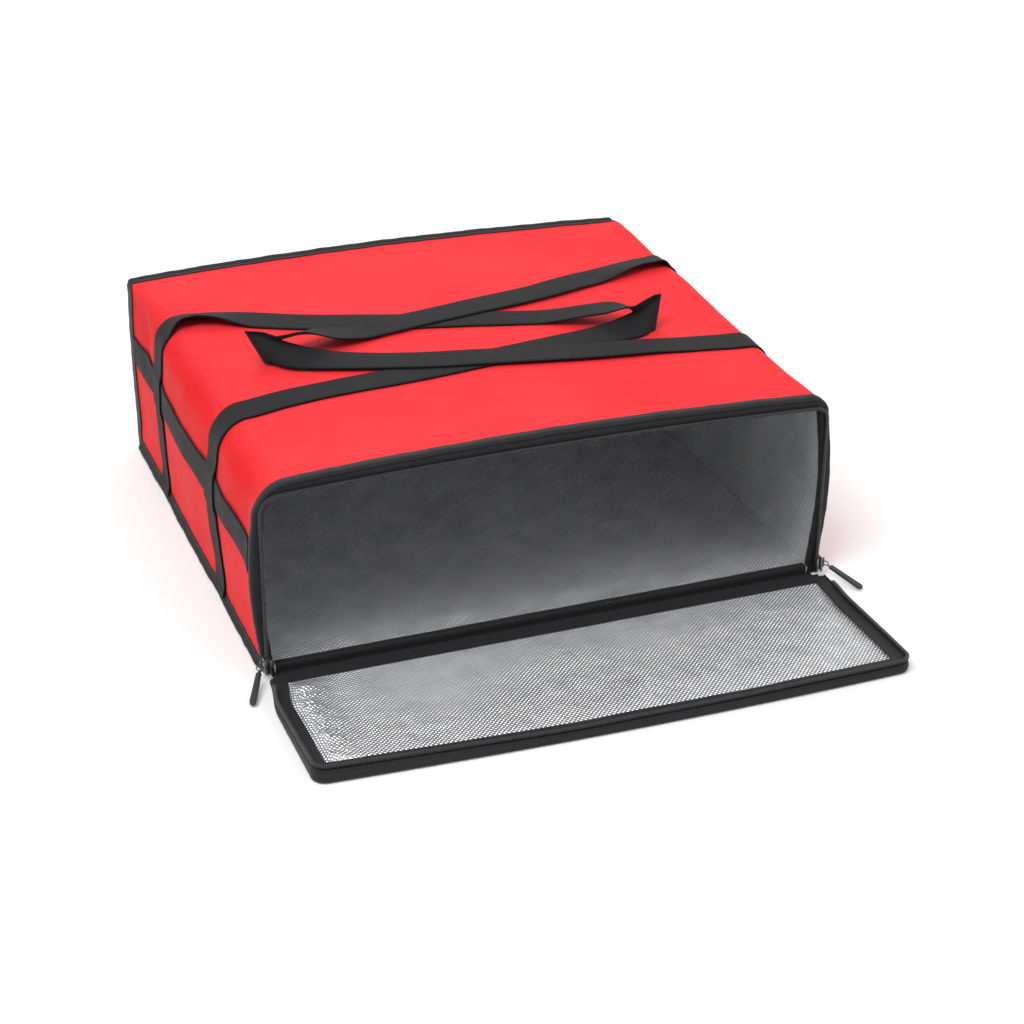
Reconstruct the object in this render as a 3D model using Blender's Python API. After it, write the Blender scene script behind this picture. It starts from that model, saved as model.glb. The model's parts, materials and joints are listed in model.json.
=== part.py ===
"""Pizza delivery bag: a soft insulated bag that loads from the front, with a zipped flap and two webbing handles.

The bag stands on the floor with its mouth towards -Y and its flap folded down flat in front of it. X runs along the
mouth, Z is up, and the origin is the middle of the bag's underside. Every place along the depth of the bag is first
given as a distance behind the mouth, and place() moves it into the bag's own frame.
"""

import math

import bmesh
import bpy
from mathutils import Matrix, Vector

# Overall size of the bag, over its fabric, in metres
bag_width = 0.500
bag_depth = 0.465
bag_height = 0.170
side_bulge = 0.008
top_crown = 0.008
back_fullness_share = 0.45
front_corner_radius = 0.026
back_corner_radius = 0.004
least_inner_radius = 0.001
back_seam_depth = 0.010

# Layers of the wall
fabric_thickness = 0.0008
foam_thickness = 0.005
foil_thickness = 0.0005
layer_gap = 0.0003

# Bindings over the seams
binding_thickness = 0.0008
rim_binding_leg = 0.006
back_binding_leg = 0.008
bottom_bead_height = 0.0095
bottom_bead_reach = 0.005
bead_taper = 0.008
sill_binding_leg = 0.006

# Webbing
webbing_width = 0.032
webbing_thickness = 0.0014
webbing_gap = 0.0005
crossing_gap = 0.0004
crossing_ramp = 0.010
belt_height = 0.097
left_front_strap_depth = 0.140
left_rear_strap_depth = 0.345
right_front_strap_depth = 0.132
right_rear_strap_depth = 0.330
handle_hinge_inset = 0.032
handle_end_gap = 0.0003

# Zipper
chain_drop = 0.008
chain_crown = 0.006
chain_corner_radius = 0.016
tape_thickness = 0.0008
tape_width = 0.0015
tooth_pitch = 0.005
tooth_depth = 0.0022
tooth_thickness = 0.0030
tooth_tip_share = 0.5
tooth_cord_share = 0.3
chain_parting = 0.0015
stop_bottom = 0.0022
stop_height = 0.0026

# Zipper slider and its pull
slider_height = 0.012
slider_length = 0.013
slider_plate = 0.001
slider_room = 0.0004
slider_slot = 0.0016
slider_post_length = 0.004
slider_post_width = 0.0011
bridge_wire = 0.0006
bridge_reach = 0.0032
bridge_half_length = 0.0042
pull_turn = math.radians(66)
pull_dip = math.radians(12)
link_ring_radius = 0.0029
link_wire = 0.00055
link_neck_length = 0.0035
link_shank_length = 0.0095
link_shank_width = 0.0024
link_shank_thickness = 0.0010
pull_length = 0.036
pull_width = 0.0056
pull_thickness = 0.0024
tab_neck_share = 0.8

# Flap
flap_foam_thickness = 0.0018
flap_foil_thickness = 0.0004
flap_overhang = 0.0015
flap_binding_leg = 0.012
hinge_roll_radius = 0.0028
hinge_strip_inset = 0.004

# How finely curved shapes are cut
side_steps = 8
arc_steps = 4
top_steps = 10
depth_steps = 6

# Heights and depths that follow from the sizes above
wall_thickness = fabric_thickness + foam_thickness + foil_thickness + 2 * layer_gap
foam_outside = fabric_thickness + layer_gap
foam_inside = foam_outside + foam_thickness
foil_outside = foam_inside + layer_gap
rim_outside = layer_gap + binding_thickness
rim_front = -rim_outside
tape_back = rim_front - layer_gap
tape_front = tape_back - tape_width
teeth_back = tape_front - layer_gap
teeth_front = teeth_back - tooth_depth
flap_teeth_back = teeth_front - chain_parting
first_tooth_height = stop_bottom + stop_height + layer_gap + tooth_pitch / 2
chain_half_width = bag_width / 2
chain_top = bag_height - chain_drop

# Layers of the flap, counted up from the floor while it lies open
flap_panel_base = binding_thickness + layer_gap
flap_foam_base = flap_panel_base + fabric_thickness + layer_gap
flap_foil_base = flap_foam_base + flap_foam_thickness + layer_gap
flap_lining_top = flap_foil_base + flap_foil_thickness
flap_binding_top = flap_lining_top + layer_gap + binding_thickness
flap_tape_base = flap_binding_top + layer_gap
flap_tape_top = flap_tape_base + tape_width
flap_teeth_base = flap_tape_top + layer_gap
flap_teeth_top = flap_teeth_base + tooth_depth
hinge_height = flap_binding_top / 2
hinge_depth = flap_teeth_back - flap_teeth_top + hinge_height
flap_floor = hinge_depth - hinge_height
flap_root = hinge_height + hinge_roll_radius + layer_gap
flap_half_width = chain_half_width + flap_overhang
flap_top = chain_top + flap_overhang

red = (0.83, 0.035, 0.045)
black = (0.030, 0.031, 0.033)
silver = (0.74, 0.75, 0.77)
foam_white = (0.80, 0.80, 0.78)
steel = (0.45, 0.45, 0.47)


def place(x, depth, z):
    """A point given by its distance behind the mouth, in the bag's own frame."""
    return Vector((x, depth - bag_depth / 2, z))


def make_material(name, colour, roughness, metallic=0.0):
    mat = bpy.data.materials.new(name)
    mat.use_nodes = True
    shader = mat.node_tree.nodes["Principled BSDF"]
    shader.inputs["Base Color"].default_value = (*colour, 1.0)
    shader.inputs["Roughness"].default_value = roughness
    shader.inputs["Metallic"].default_value = metallic
    return mat


def add_object(name, bm, colour, roughness, metallic=0.0):
    """Closes the bmesh, turns its faces out and makes it the object of that name."""
    bmesh.ops.remove_doubles(bm, verts=bm.verts[:], dist=1e-6)
    bmesh.ops.recalc_face_normals(bm, faces=bm.faces[:])
    mesh = bpy.data.meshes.new(name)
    bm.to_mesh(mesh)
    bm.free()
    obj = bpy.data.objects.new(name, mesh)
    bpy.context.scene.collection.objects.link(obj)
    mesh.materials.append(make_material(name, colour, roughness, metallic))
    return obj


def apply_boolean(target, other, operation):
    """Cuts or joins one object with another and removes the other."""
    mod = target.modifiers.new(operation.lower(), "BOOLEAN")
    mod.operation = operation
    mod.solver = "EXACT"
    mod.object = other
    bpy.context.view_layer.update()
    shape = bpy.data.meshes.new_from_object(target.evaluated_get(bpy.context.evaluated_depsgraph_get()))
    target.modifiers.clear()
    target.data = shape
    bpy.data.objects.remove(other)
    return target


# The soft box that every layer follows
def fullness(depth):
    """How far the walls swell at a depth: fully at the mouth, less towards the stitched back."""
    return 1 - (1 - back_fullness_share) * (depth / bag_depth) ** 2


def corner_radius(depth):
    """The two top edges are round along the bag and draw in to sharp corners at the back seam."""
    share = min(max(depth / (bag_depth - back_seam_depth), 0), 1)
    return front_corner_radius + (back_corner_radius - front_corner_radius) * share ** 6


def swell(x, depth, z):
    """Moves a point of the plain box to its place on the swollen bag."""
    full = fullness(depth)
    out = 1 + 2 * side_bulge * full / bag_width * math.sin(math.pi * min(max(z, 0), bag_height) / bag_height)
    up = 1 + top_crown * full / bag_height * (1 - (2 * x / bag_width) ** 2)
    return place(x * out, depth, z * up)


def wrap_stations(low=0.0, first="left", last="right"):
    """Stations along the wrap, from the left wall's foot over the top to the right wall's foot."""
    left = [("left", i / side_steps, low) for i in range(side_steps + 1)]
    left_arc = [("left_arc", i / arc_steps, low) for i in range(1, arc_steps + 1)]
    top = [("top", i / top_steps, low) for i in range(1, top_steps)]
    right_arc = [("right_arc", i / arc_steps, low) for i in range(arc_steps)]
    right = [("right", i / side_steps, low) for i in range(side_steps + 1)]
    runs = {"left": left, "left_arc": left_arc, "top": top, "right_arc": right_arc, "right": right}
    names = list(runs)
    chosen = names[names.index(first):names.index(last) + 1]
    return [station for name in chosen for station in runs[name]]


def wrap_point(station, inset, depth):
    """A point of the wrap, that far inside the fabric's outer face."""
    kind, share, low = station
    radius = max(corner_radius(depth) - inset, least_inner_radius)
    side = bag_width / 2 - inset
    top = bag_height - inset
    if kind == "left":
        return swell(-side, depth, max(low, share * (top - radius)))
    if kind == "right":
        return swell(side, depth, max(low, (1 - share) * (top - radius)))
    if kind == "height":
        return swell(share * side, depth, low)
    if kind == "across":
        return swell(share * bag_width / 2, depth, top)
    if kind == "top":
        return swell((2 * share - 1) * (side - radius), depth, top)
    sign = -1 if kind == "left_arc" else 1
    turn = share * math.pi / 2 if sign < 0 else (1 - share) * math.pi / 2
    x = side - radius + radius * math.cos(turn)
    return swell(sign * x, depth, top - radius + radius * math.sin(turn))


def sweep(profile, stations, point, lift=None):
    """A closed solid: the profile, a loop of (inset, depth), carried along the stations."""
    bm = bmesh.new()
    rings = []
    for index, station in enumerate(stations):
        rise = lift[index] if lift else 0
        rings.append([bm.verts.new(point(station, inset - rise, depth)) for inset, depth in profile])
    count = len(profile)
    for ring, following in zip(rings, rings[1:]):
        for i in range(count):
            j = (i + 1) % count
            bm.faces.new((ring[i], ring[j], following[j], following[i]))
    for ring in (rings[0], rings[-1]):
        half = count // 2
        for i in range(half - 1):
            quad = (ring[i], ring[i + 1], ring[count - 2 - i], ring[count - 1 - i])
            bm.faces.new(quad)
    return bm


def sheet_profile(outside, inside, start, end):
    """A flat layer's profile: its outer face from start to end, then its inner face back."""
    shared = [bag_depth * i / depth_steps for i in range(1, depth_steps)]
    shared += [bag_depth - 3 * back_seam_depth, bag_depth - back_seam_depth]
    depths = [start] + [depth for depth in shared if start < depth - webbing_width and depth < end - layer_gap]
    depths.append(end)
    return [(outside, depth) for depth in depths] + [(inside, depth) for depth in reversed(depths)]


def add_wall_plate(name, inset, low, start, end, colour, roughness, metallic=0.0):
    """A plate across the bag, such as the back panel, as wide and tall as the wrap at that inset."""
    bm = bmesh.new()
    stations = wrap_stations(low)
    rings = [[bm.verts.new(wrap_point(s, inset, depth)) for s in stations] for depth in (start, end)]
    close_plate(bm, rings)
    return add_object(name, bm, colour, roughness, metallic)


def close_plate(bm, rings):
    """Walls and two faces for a plate given by the same outline at its front and its back."""
    count = len(rings[0])
    for i in range(count):
        j = (i + 1) % count
        bm.faces.new((rings[0][i], rings[0][j], rings[1][j], rings[1][i]))
    half = count // 2
    for ring in rings:
        for i in range(half - 1):
            bm.faces.new((ring[i], ring[i + 1], ring[count - 2 - i], ring[count - 1 - i]))
        if count % 2:
            bm.faces.new((ring[half - 1], ring[half], ring[half + 1]))


def add_box(name, low, high, colour, roughness, metallic=0.0):
    """A plain box between two corners, given as x, distance behind the mouth, and height."""
    bm = bmesh.new()
    bmesh.ops.create_cube(bm, size=1)
    a, b = place(*low), place(*high)
    bmesh.ops.scale(bm, vec=b - a, verts=bm.verts[:])
    bmesh.ops.translate(bm, vec=(a + b) / 2, verts=bm.verts[:])
    return add_object(name, bm, colour, roughness, metallic)


# Body of the bag
def build_walls():
    inner_end = bag_depth - fabric_thickness - layer_gap
    foam_end = inner_end - foam_thickness - layer_gap
    foil_end = foam_end - foil_thickness - layer_gap
    floor_top = fabric_thickness + layer_gap
    liner_low = floor_top + foam_thickness + layer_gap

    shell = sweep(sheet_profile(0, fabric_thickness, 0, inner_end), wrap_stations(layer_gap), wrap_point)
    add_object("outer_shell", shell, red, 0.75)
    add_wall_plate("back_panel", 0, layer_gap, bag_depth - fabric_thickness, bag_depth, red, 0.75)

    foam = sheet_profile(foam_outside, foam_inside, 0, foam_end)
    left_board = sweep(foam, wrap_stations(floor_top, "left", "left"), wrap_point)
    add_object("left_foam_board", left_board, foam_white, 0.9)
    right_board = sweep(foam, wrap_stations(floor_top, "right", "right"), wrap_point)
    add_object("right_foam_board", right_board, foam_white, 0.9)
    arc_shares = [i / arc_steps for i in range(arc_steps + 1)]
    seam_share = layer_gap / front_corner_radius
    top_run = [("left_arc", max(share, seam_share), 0) for share in arc_shares]
    top_run += [("top", i / top_steps, 0) for i in range(1, top_steps)]
    top_run += [("right_arc", min(share, 1 - seam_share), 0) for share in arc_shares]
    add_object("top_foam_board", sweep(foam, top_run, wrap_point), foam_white, 0.9)

    foil = sheet_profile(foil_outside, wall_thickness, 0, foil_end)
    add_object("foil_lining", sweep(foil, wrap_stations(liner_low), wrap_point), silver, 0.3, 1.0)

    add_wall_plate("back_foam_board", foam_outside, floor_top, foam_end + layer_gap, inner_end - layer_gap,
                   foam_white, 0.9)
    add_wall_plate("back_foil_lining", foil_outside, liner_low, foil_end + layer_gap, foam_end, silver, 0.3, 1.0)

    reach = bag_width / 2 - fabric_thickness - layer_gap
    add_box("bottom_panel", (-reach, 0, 0), (reach, inner_end, fabric_thickness), red, 0.8)
    reach = bag_width / 2 - foam_inside - layer_gap
    add_box("bottom_foam_board", (-reach, 0, floor_top), (reach, foam_end, floor_top + foam_thickness),
            foam_white, 0.9)
    reach = bag_width / 2 - wall_thickness - layer_gap
    add_box("bottom_foil_lining", (-reach, 0, liner_low), (reach, foil_end, liner_low + foil_thickness),
            silver, 0.3, 1.0)


def build_bindings():
    outer = -rim_outside
    inner = wall_thickness + layer_gap
    rim = [
        (outer, rim_binding_leg), (outer, rim_front), (inner + binding_thickness, rim_front),
        (inner + binding_thickness, rim_binding_leg), (inner, rim_binding_leg), (inner, -layer_gap),
        (-layer_gap, -layer_gap), (-layer_gap, rim_binding_leg),
    ]
    bm = bmesh.new()
    stations = wrap_stations(layer_gap)
    rings = [[bm.verts.new(wrap_point(s, inset, depth)) for inset, depth in rim] for s in stations]
    for ring, following in zip(rings, rings[1:]):
        for i in range(len(rim)):
            j = (i + 1) % len(rim)
            bm.faces.new((ring[i], ring[j], following[j], following[i]))
    for ring in (rings[0], rings[-1]):
        bm.faces.new((ring[0], ring[1], ring[6], ring[7]))
        bm.faces.new((ring[1], ring[2], ring[5], ring[6]))
        bm.faces.new((ring[2], ring[3], ring[4], ring[5]))
    rim_object = add_object("mouth_rim_binding", bm, black, 0.85)
    floor_stack = fabric_thickness + 3 * layer_gap + foam_thickness + foil_thickness
    for side in (-1, 1):
        inside = side * bag_width / 2
        reach = side * (bag_width / 2 - 2 * wall_thickness)
        foot = add_box("foot_cutter", (min(inside, reach), -layer_gap, -wall_thickness),
                       (max(inside, reach), 2 * rim_binding_leg, floor_stack), black, 0.85)
        apply_boolean(rim_object, foot, "DIFFERENCE")

    back_face = bag_depth + layer_gap
    lip = [
        (outer, bag_depth - back_binding_leg), (outer, back_face + binding_thickness),
        (back_binding_leg, back_face + binding_thickness), (back_binding_leg, back_face),
        (-layer_gap, back_face), (-layer_gap, bag_depth - back_binding_leg),
    ]
    bm = bmesh.new()
    rings = [[bm.verts.new(wrap_point(s, inset, depth)) for inset, depth in lip] for s in stations]
    for ring, following in zip(rings, rings[1:]):
        for i in range(len(lip)):
            j = (i + 1) % len(lip)
            bm.faces.new((ring[i], ring[j], following[j], following[i]))
    for ring in (rings[0], rings[-1]):
        bm.faces.new((ring[0], ring[1], ring[4], ring[5]))
        bm.faces.new((ring[1], ring[2], ring[3], ring[4]))
    add_object("back_edge_binding", bm, black, 0.85)

    reach = bag_width / 2 - back_binding_leg - layer_gap
    add_box("back_bottom_binding", (-reach, back_face, layer_gap),
            (reach, back_face + binding_thickness, back_binding_leg), black, 0.85)

    for side, label in ((-1, "left"), (1, "right")):
        add_bottom_bead(label + "_bottom_binding", side)

    reach = bag_width / 2 - wall_thickness - layer_gap - binding_thickness - layer_gap
    sill_top = fabric_thickness + 2 * layer_gap + foam_thickness + foil_thickness + layer_gap + binding_thickness
    sill = [
        (rim_front, layer_gap), (rim_front, sill_top), (sill_binding_leg, sill_top),
        (sill_binding_leg, sill_top - binding_thickness), (-layer_gap, sill_top - binding_thickness),
        (-layer_gap, layer_gap),
    ]
    bm = bmesh.new()
    rings = [[bm.verts.new(place(x, depth, z)) for depth, z in sill] for x in (-reach, reach)]
    for i in range(len(sill)):
        j = (i + 1) % len(sill)
        bm.faces.new((rings[0][i], rings[0][j], rings[1][j], rings[1][i]))
    for ring in rings:
        bm.faces.new((ring[0], ring[1], ring[4], ring[5]))
        bm.faces.new((ring[1], ring[2], ring[3], ring[4]))
    add_object("mouth_sill_binding", bm, black, 0.85)


def add_bottom_bead(name, side):
    """The bound seam along a side wall's foot: a flat band on the wall with a round bead standing out below."""
    start = rim_binding_leg + layer_gap
    end = bag_depth - back_binding_leg - layer_gap
    high, reach, skin = bottom_bead_height, bottom_bead_reach, layer_gap + binding_thickness
    depths = [start, start + bead_taper]
    depths += [bag_depth * i / depth_steps for i in range(1, depth_steps)]
    depths += [end - bead_taper, end]
    bm = bmesh.new()
    rings = []
    for depth in depths:
        out = reach if start < depth < end else skin + layer_gap
        section = [
            (layer_gap, layer_gap), (out * 0.8, layer_gap), (out, high * 0.16), (out, high * 0.45),
            (out * 0.75, high * 0.68), (skin, high * 0.8), (skin, high), (layer_gap, high),
        ]
        rings.append([bm.verts.new(wrap_point(("height", side, z), -x, depth)) for x, z in section])
    for ring, following in zip(rings, rings[1:]):
        for i in range(len(ring)):
            j = (i + 1) % len(ring)
            bm.faces.new((ring[i], ring[j], following[j], following[i]))
    for ring in (rings[0], rings[-1]):
        bm.faces.new(ring)
    add_object(name, bm, black, 0.85)


# Webbing sewn to the side walls
def build_side_webbing():
    belt = sheet_profile(-webbing_gap - webbing_thickness, -webbing_gap, rim_binding_leg + layer_gap,
                         bag_depth - back_binding_leg - layer_gap)
    belt_low = belt_height - webbing_width / 2
    belt_high = belt_height + webbing_width / 2
    over_belt = webbing_thickness + crossing_gap
    straps = {
        "left": (left_front_strap_depth, left_rear_strap_depth),
        "right": (right_front_strap_depth, right_rear_strap_depth),
    }
    for side, label in ((-1, "left"), (1, "right")):
        heights = [("height", side, belt_low + webbing_width * share) for share in (0, 0.5, 1)]
        add_object(label + "_side_belt", sweep(belt, heights, wrap_point), black, 0.85)
        for depth, position in zip(straps[label], ("front", "rear")):
            add_strap(f"{label}_{position}_side_strap", side, depth, belt_low, belt_high, over_belt)


def add_strap(name, side, depth, belt_low, belt_high, over_belt):
    """A strap that runs up a side wall, over the belt and round the top edge to its handle's fold line."""
    foot = bottom_bead_height + layer_gap
    shoulder = bag_height - corner_radius(depth)
    rise_start = belt_low - crossing_ramp
    fall_end = belt_high + crossing_ramp
    heights = [foot + (rise_start - foot) * share for share in (0, 0.33, 0.67, 1)]
    heights += [belt_low, belt_height, belt_high, fall_end, (fall_end + shoulder) / 2]
    lifts = [0, 0, 0, 0, over_belt, over_belt, over_belt, 0, 0]
    stations = [("height", side, z) for z in heights]
    arc = "left_arc" if side < 0 else "right_arc"
    shares = [i / arc_steps for i in range(arc_steps + 1)]
    stations += [(arc, share if side < 0 else 1 - share, 0) for share in shares]
    edge = side * (1 - (handle_hinge_inset - handle_end_gap) * 2 / bag_width)
    stations.append(("across", edge, 0))
    lifts += [0] * (len(shares) + 1)
    profile = sheet_profile(-webbing_gap - webbing_thickness, -webbing_gap, depth - webbing_width / 2,
                            depth + webbing_width / 2)
    add_object(name, sweep(profile, stations, wrap_point, lifts), black, 0.85)


# Handles
def top_surface(x, depth):
    return swell(x, depth, bag_height).z


def curve_through(points, steps):
    """Points on a smooth curve through the given ones, with that many steps between each two."""
    out = []
    for i in range(len(points) - 1):
        before = points[i - 1] if i else points[i] * 2 - points[i + 1]
        after = points[i + 2] if i + 2 < len(points) else points[i + 1] * 2 - points[i]
        for k in range(steps):
            t = k / steps
            a, b = points[i], points[i + 1]
            out.append(0.5 * (2 * a + (b - before) * t + (2 * before - 5 * a + 4 * b - after) * t * t
                              + (3 * a - before - 3 * b + after) * t * t * t))
    out.append(points[-1])
    return out


def smooth_step(value):
    value = min(max(value, 0), 1)
    return value * value * (3 - 2 * value)


# Each leg as shares of the bag's width and depth, from the fold line to the turn; x counts from the middle of the
# bag towards the far side of the handle's own fold line
left_front_shares = ((-0.32, 0.314), (-0.16, 0.321), (0.00, 0.337), (0.12, 0.358), (0.22, 0.376), (0.325, 0.388))
left_rear_shares = ((-0.34, 0.690), (-0.22, 0.620), (-0.08, 0.560), (0.06, 0.518), (0.20, 0.472), (0.325, 0.404))
right_front_shares = ((-0.32, 0.289), (-0.20, 0.299), (-0.08, 0.322), (0.06, 0.356), (0.20, 0.402), (0.36, 0.470))
right_rear_shares = ((-0.32, 0.664), (-0.18, 0.610), (-0.04, 0.580), (0.10, 0.562), (0.24, 0.540), (0.36, 0.484))
turn_lean = math.radians(92)
turn_tip_share = 0.5
turn_back_share = 0.25
turn_twist_length = 0.066
turn_steps = 4


def build_handles():
    add_handle("left_handle", 1, left_front_shares, left_rear_shares, left_front_strap_depth,
               left_rear_strap_depth, 0)
    add_handle("right_handle", -1, right_front_shares, right_rear_shares, right_front_strap_depth,
               right_rear_strap_depth, webbing_thickness + crossing_gap)


def add_handle(name, direction, front_shares, rear_shares, front_depth, rear_depth, over):
    """One flat loop of webbing: out along the front leg, round a turn that stands on edge, back along the rear leg.

    direction is +1 for the handle whose fold line is on the left. over lifts the loop where it lies on the other.
    """
    start = -(bag_width / 2 - handle_hinge_inset)
    front = [Vector((start, front_depth))] + [Vector((x * bag_width, y * bag_depth)) for x, y in front_shares]
    rear = [Vector((start, rear_depth))] + [Vector((x * bag_width, y * bag_depth)) for x, y in rear_shares]
    out_leg, back_leg = curve_through(front, 3), curve_through(rear, 3)
    turn_middle = (out_leg[-1] + back_leg[-1]) / 2
    turn_radius = (out_leg[-1] - back_leg[-1]).length / 2
    angles = [-math.pi / 2 + math.pi * i / turn_steps for i in range(1, turn_steps)]
    turn = [turn_middle + turn_radius * Vector((math.cos(a), math.sin(a))) for a in angles]
    path = out_leg + turn + back_leg[::-1]
    travel = [0]
    for a, b in zip(path, path[1:]):
        travel.append(travel[-1] + (b - a).length)
    turn_start = travel[len(out_leg) - 1]
    turn_end = travel[len(out_leg) + len(turn)]
    bm = bmesh.new()
    rings = []
    for i, spot in enumerate(path):
        ahead = (path[min(i + 1, len(path) - 1)] - path[max(i - 1, 0)]).normalized()
        if i in (0, len(path) - 1):
            ahead = Vector((1, 0)) if i == 0 else Vector((-1, 0))
        outward = Vector((ahead.y, -ahead.x))
        away = max(turn_start - travel[i], travel[i] - turn_end, 0)
        lean = turn_lean * (1 - smooth_step(away / turn_twist_length))
        edge = spot + outward * (webbing_width / 2 * math.cos(lean))
        across = Vector((-outward.x * math.cos(lean), -outward.y * math.cos(lean), math.sin(lean)))
        across.x += turn_tip_share * math.sin(lean) ** 4
        across.y += turn_back_share * math.sin(lean) ** 4
        face = Vector((outward.x * math.sin(lean), outward.y * math.sin(lean), math.cos(lean)))
        lift = webbing_gap + over * smooth_step((spot.x - start - webbing_width) / (2 * webbing_width))
        ring = []
        for along, up in ((0, 0), (1, 0), (1, 1), (0, 1)):
            x = edge.x + across.x * webbing_width * along
            depth = edge.y + across.y * webbing_width * along
            z = across.z * webbing_width * along + top_surface(direction * x, depth) + lift
            point = place(x, depth, z) + face * webbing_thickness * up
            ring.append(bm.verts.new((direction * point.x, point.y, point.z)))
        rings.append(ring)
    for ring, following in zip(rings, rings[1:]):
        for i in range(4):
            j = (i + 1) % 4
            bm.faces.new((ring[i], ring[j], following[j], following[i]))
    bm.faces.new(rings[0])
    bm.faces.new(rings[-1])
    add_object(name, bm, black, 0.85)


# Zipper: both halves follow one path, straight up the sides and crowned along the top
def chain_stations(low, half_width, top, radius, crowned=True):
    """(x, z, outward) along the three zipped edges, from the left foot to the right foot."""
    out = [(-half_width, low, (-1, 0)), (-half_width, top - radius, (-1, 0))]
    for i in range(1, 2 * arc_steps + 1):
        turn = math.pi / 2 * i / (2 * arc_steps)
        out.append((-(half_width - radius) - radius * math.cos(turn), top - radius + radius * math.sin(turn),
                    (-math.cos(turn), math.sin(turn))))
    for i in range(1, top_steps):
        share = i / top_steps
        out.append(((2 * share - 1) * (half_width - radius), top, (0, 1)))
    mirrored = [(-x, z, (-n[0], n[1])) for x, z, n in reversed(out[:2 * arc_steps + 2])]
    return out + mirrored


def crown_up(x, z):
    """Lifts a point of the chain's path with the crown of the mouth; the straight sides stay straight."""
    share = 1 - (x / chain_half_width) ** 2
    return z + chain_crown * max(share, 0) * (z / chain_top) ** 2


def chain_point(station, inset, depth):
    x, z, out = station
    x -= out[0] * inset
    z -= out[1] * inset
    return place(x, depth, crown_up(x, z))


def open_flap(bm):
    """The flap's pieces are shaped as they stand when zipped, then folded down about the hinge line."""
    hinge = place(0, hinge_depth, hinge_height)
    bmesh.ops.rotate(bm, cent=hinge, matrix=Matrix.Rotation(math.radians(90), 3, "X"), verts=bm.verts[:])


def tape_profile(start, end):
    half = tape_thickness / 2
    return [(-half, start), (-half, end), (half, end), (half, start)]


def chain_comb(offset, low, back, front):
    """One half of the chain: a cord along the tape with its teeth standing off it, all one moulding."""
    path = chain_stations(low, chain_half_width, chain_top, chain_corner_radius)
    points = [(x, crown_up(x, z), Vector(n)) for x, z, n in path]
    spots = []
    distance = offset
    for (x0, z0, n0), (x1, z1, n1) in zip(points, points[1:]):
        run = math.hypot(x1 - x0, z1 - z0)
        while distance < run:
            share = distance / run
            out = n0.lerp(n1, share).normalized()
            spots.append((x0 + (x1 - x0) * share, z0 + (z1 - z0) * share, out, Vector((out.y, -out.x))))
            distance += tooth_pitch
        distance -= run
    half = tooth_thickness / 2
    tip = tooth_pitch * tooth_tip_share / 2
    valley = back + (front - back) * tooth_cord_share
    bm = bmesh.new()

    def corner(spot, shift, depth, side):
        x, z, out, along = spot
        reach = side * half * (tooth_tip_share if depth == front else 1)
        return bm.verts.new(place(x + along.x * shift + out.x * reach, depth, z + along.y * shift + out.y * reach))

    roots, tips = [], []
    for spot in spots:
        roots.append([corner(spot, -tooth_pitch / 2, depth, side) for side in (-1, 1) for depth in (back, valley)])
        tips.append([corner(spot, shift, front, side) for side in (-1, 1) for shift in (-tip, tip)])
    roots.append([corner(spots[-1], tooth_pitch / 2, depth, side) for side in (-1, 1) for depth in (back, valley)])
    for index, (left_tip, right_tip, far_left, far_right) in enumerate(tips):
        near_back, near_valley, far_back, far_valley = roots[index]
        next_near_back, next_near_valley, next_far_back, next_far_valley = roots[index + 1]
        bm.faces.new((near_back, next_near_back, next_near_valley, near_valley))
        bm.faces.new((near_valley, next_near_valley, right_tip, left_tip))
        bm.faces.new((far_back, next_far_back, next_far_valley, far_valley))
        bm.faces.new((far_valley, next_far_valley, far_right, far_left))
        bm.faces.new((near_back, next_near_back, next_far_back, far_back))
        bm.faces.new((left_tip, right_tip, far_right, far_left))
        bm.faces.new((near_valley, left_tip, far_left, far_valley))
        bm.faces.new((next_near_valley, right_tip, far_right, next_far_valley))
    for near_back, near_valley, far_back, far_valley in (roots[0], roots[-1]):
        bm.faces.new((near_back, near_valley, far_valley, far_back))
    return bm


def build_zipper():
    stations = chain_stations(layer_gap * 3, chain_half_width, chain_top, chain_corner_radius)
    tape = sweep(tape_profile(tape_front, tape_back), stations, chain_point)
    add_object("mouth_zipper_tape", tape, black, 0.85)

    add_object("mouth_zipper_teeth", chain_comb(0, first_tooth_height, teeth_back, teeth_front), black, 0.5)
    for side, label in ((-1, "left"), (1, "right")):
        middle = side * chain_half_width
        add_box(label + "_chain_stop", (middle - tooth_thickness / 2, teeth_front, stop_bottom),
                (middle + tooth_thickness / 2, teeth_back, stop_bottom + stop_height), steel, 0.35, 1.0)

    tape_low = flap_root + flap_overhang
    stations = chain_stations(tape_low, chain_half_width, chain_top, chain_corner_radius)
    tape = sweep(tape_profile(flap_floor + flap_tape_base, flap_floor + flap_tape_top), stations, chain_point)
    open_flap(tape)
    add_object("flap_zipper_tape", tape, black, 0.85)

    above_slider = slider_height + slider_length / 2 + tooth_pitch
    comb = chain_comb(tooth_pitch / 2, above_slider, flap_floor + flap_teeth_base,
                      flap_floor + flap_teeth_top)
    open_flap(comb)
    add_object("flap_zipper_teeth", comb, black, 0.5)


# Flap
def flap_point(station, inset, depth):
    x, z, out = station
    return place(x - out[0] * inset, depth, crown_up(x - out[0] * inset, z - out[1] * inset))


def add_flap_plate(name, inset, base, thickness, colour, roughness, metallic=0.0):
    """One flat layer of the flap, that far inside its bound edge and that high above the floor."""
    stations = chain_stations(flap_root, flap_half_width, flap_top, chain_corner_radius + flap_overhang)
    bm = bmesh.new()
    depths = (flap_floor + base, flap_floor + base + thickness)
    rings = [[bm.verts.new(flap_point(s, inset, depth)) for s in stations] for depth in depths]
    close_plate(bm, rings)
    open_flap(bm)
    return add_object(name, bm, colour, roughness, metallic)


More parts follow.
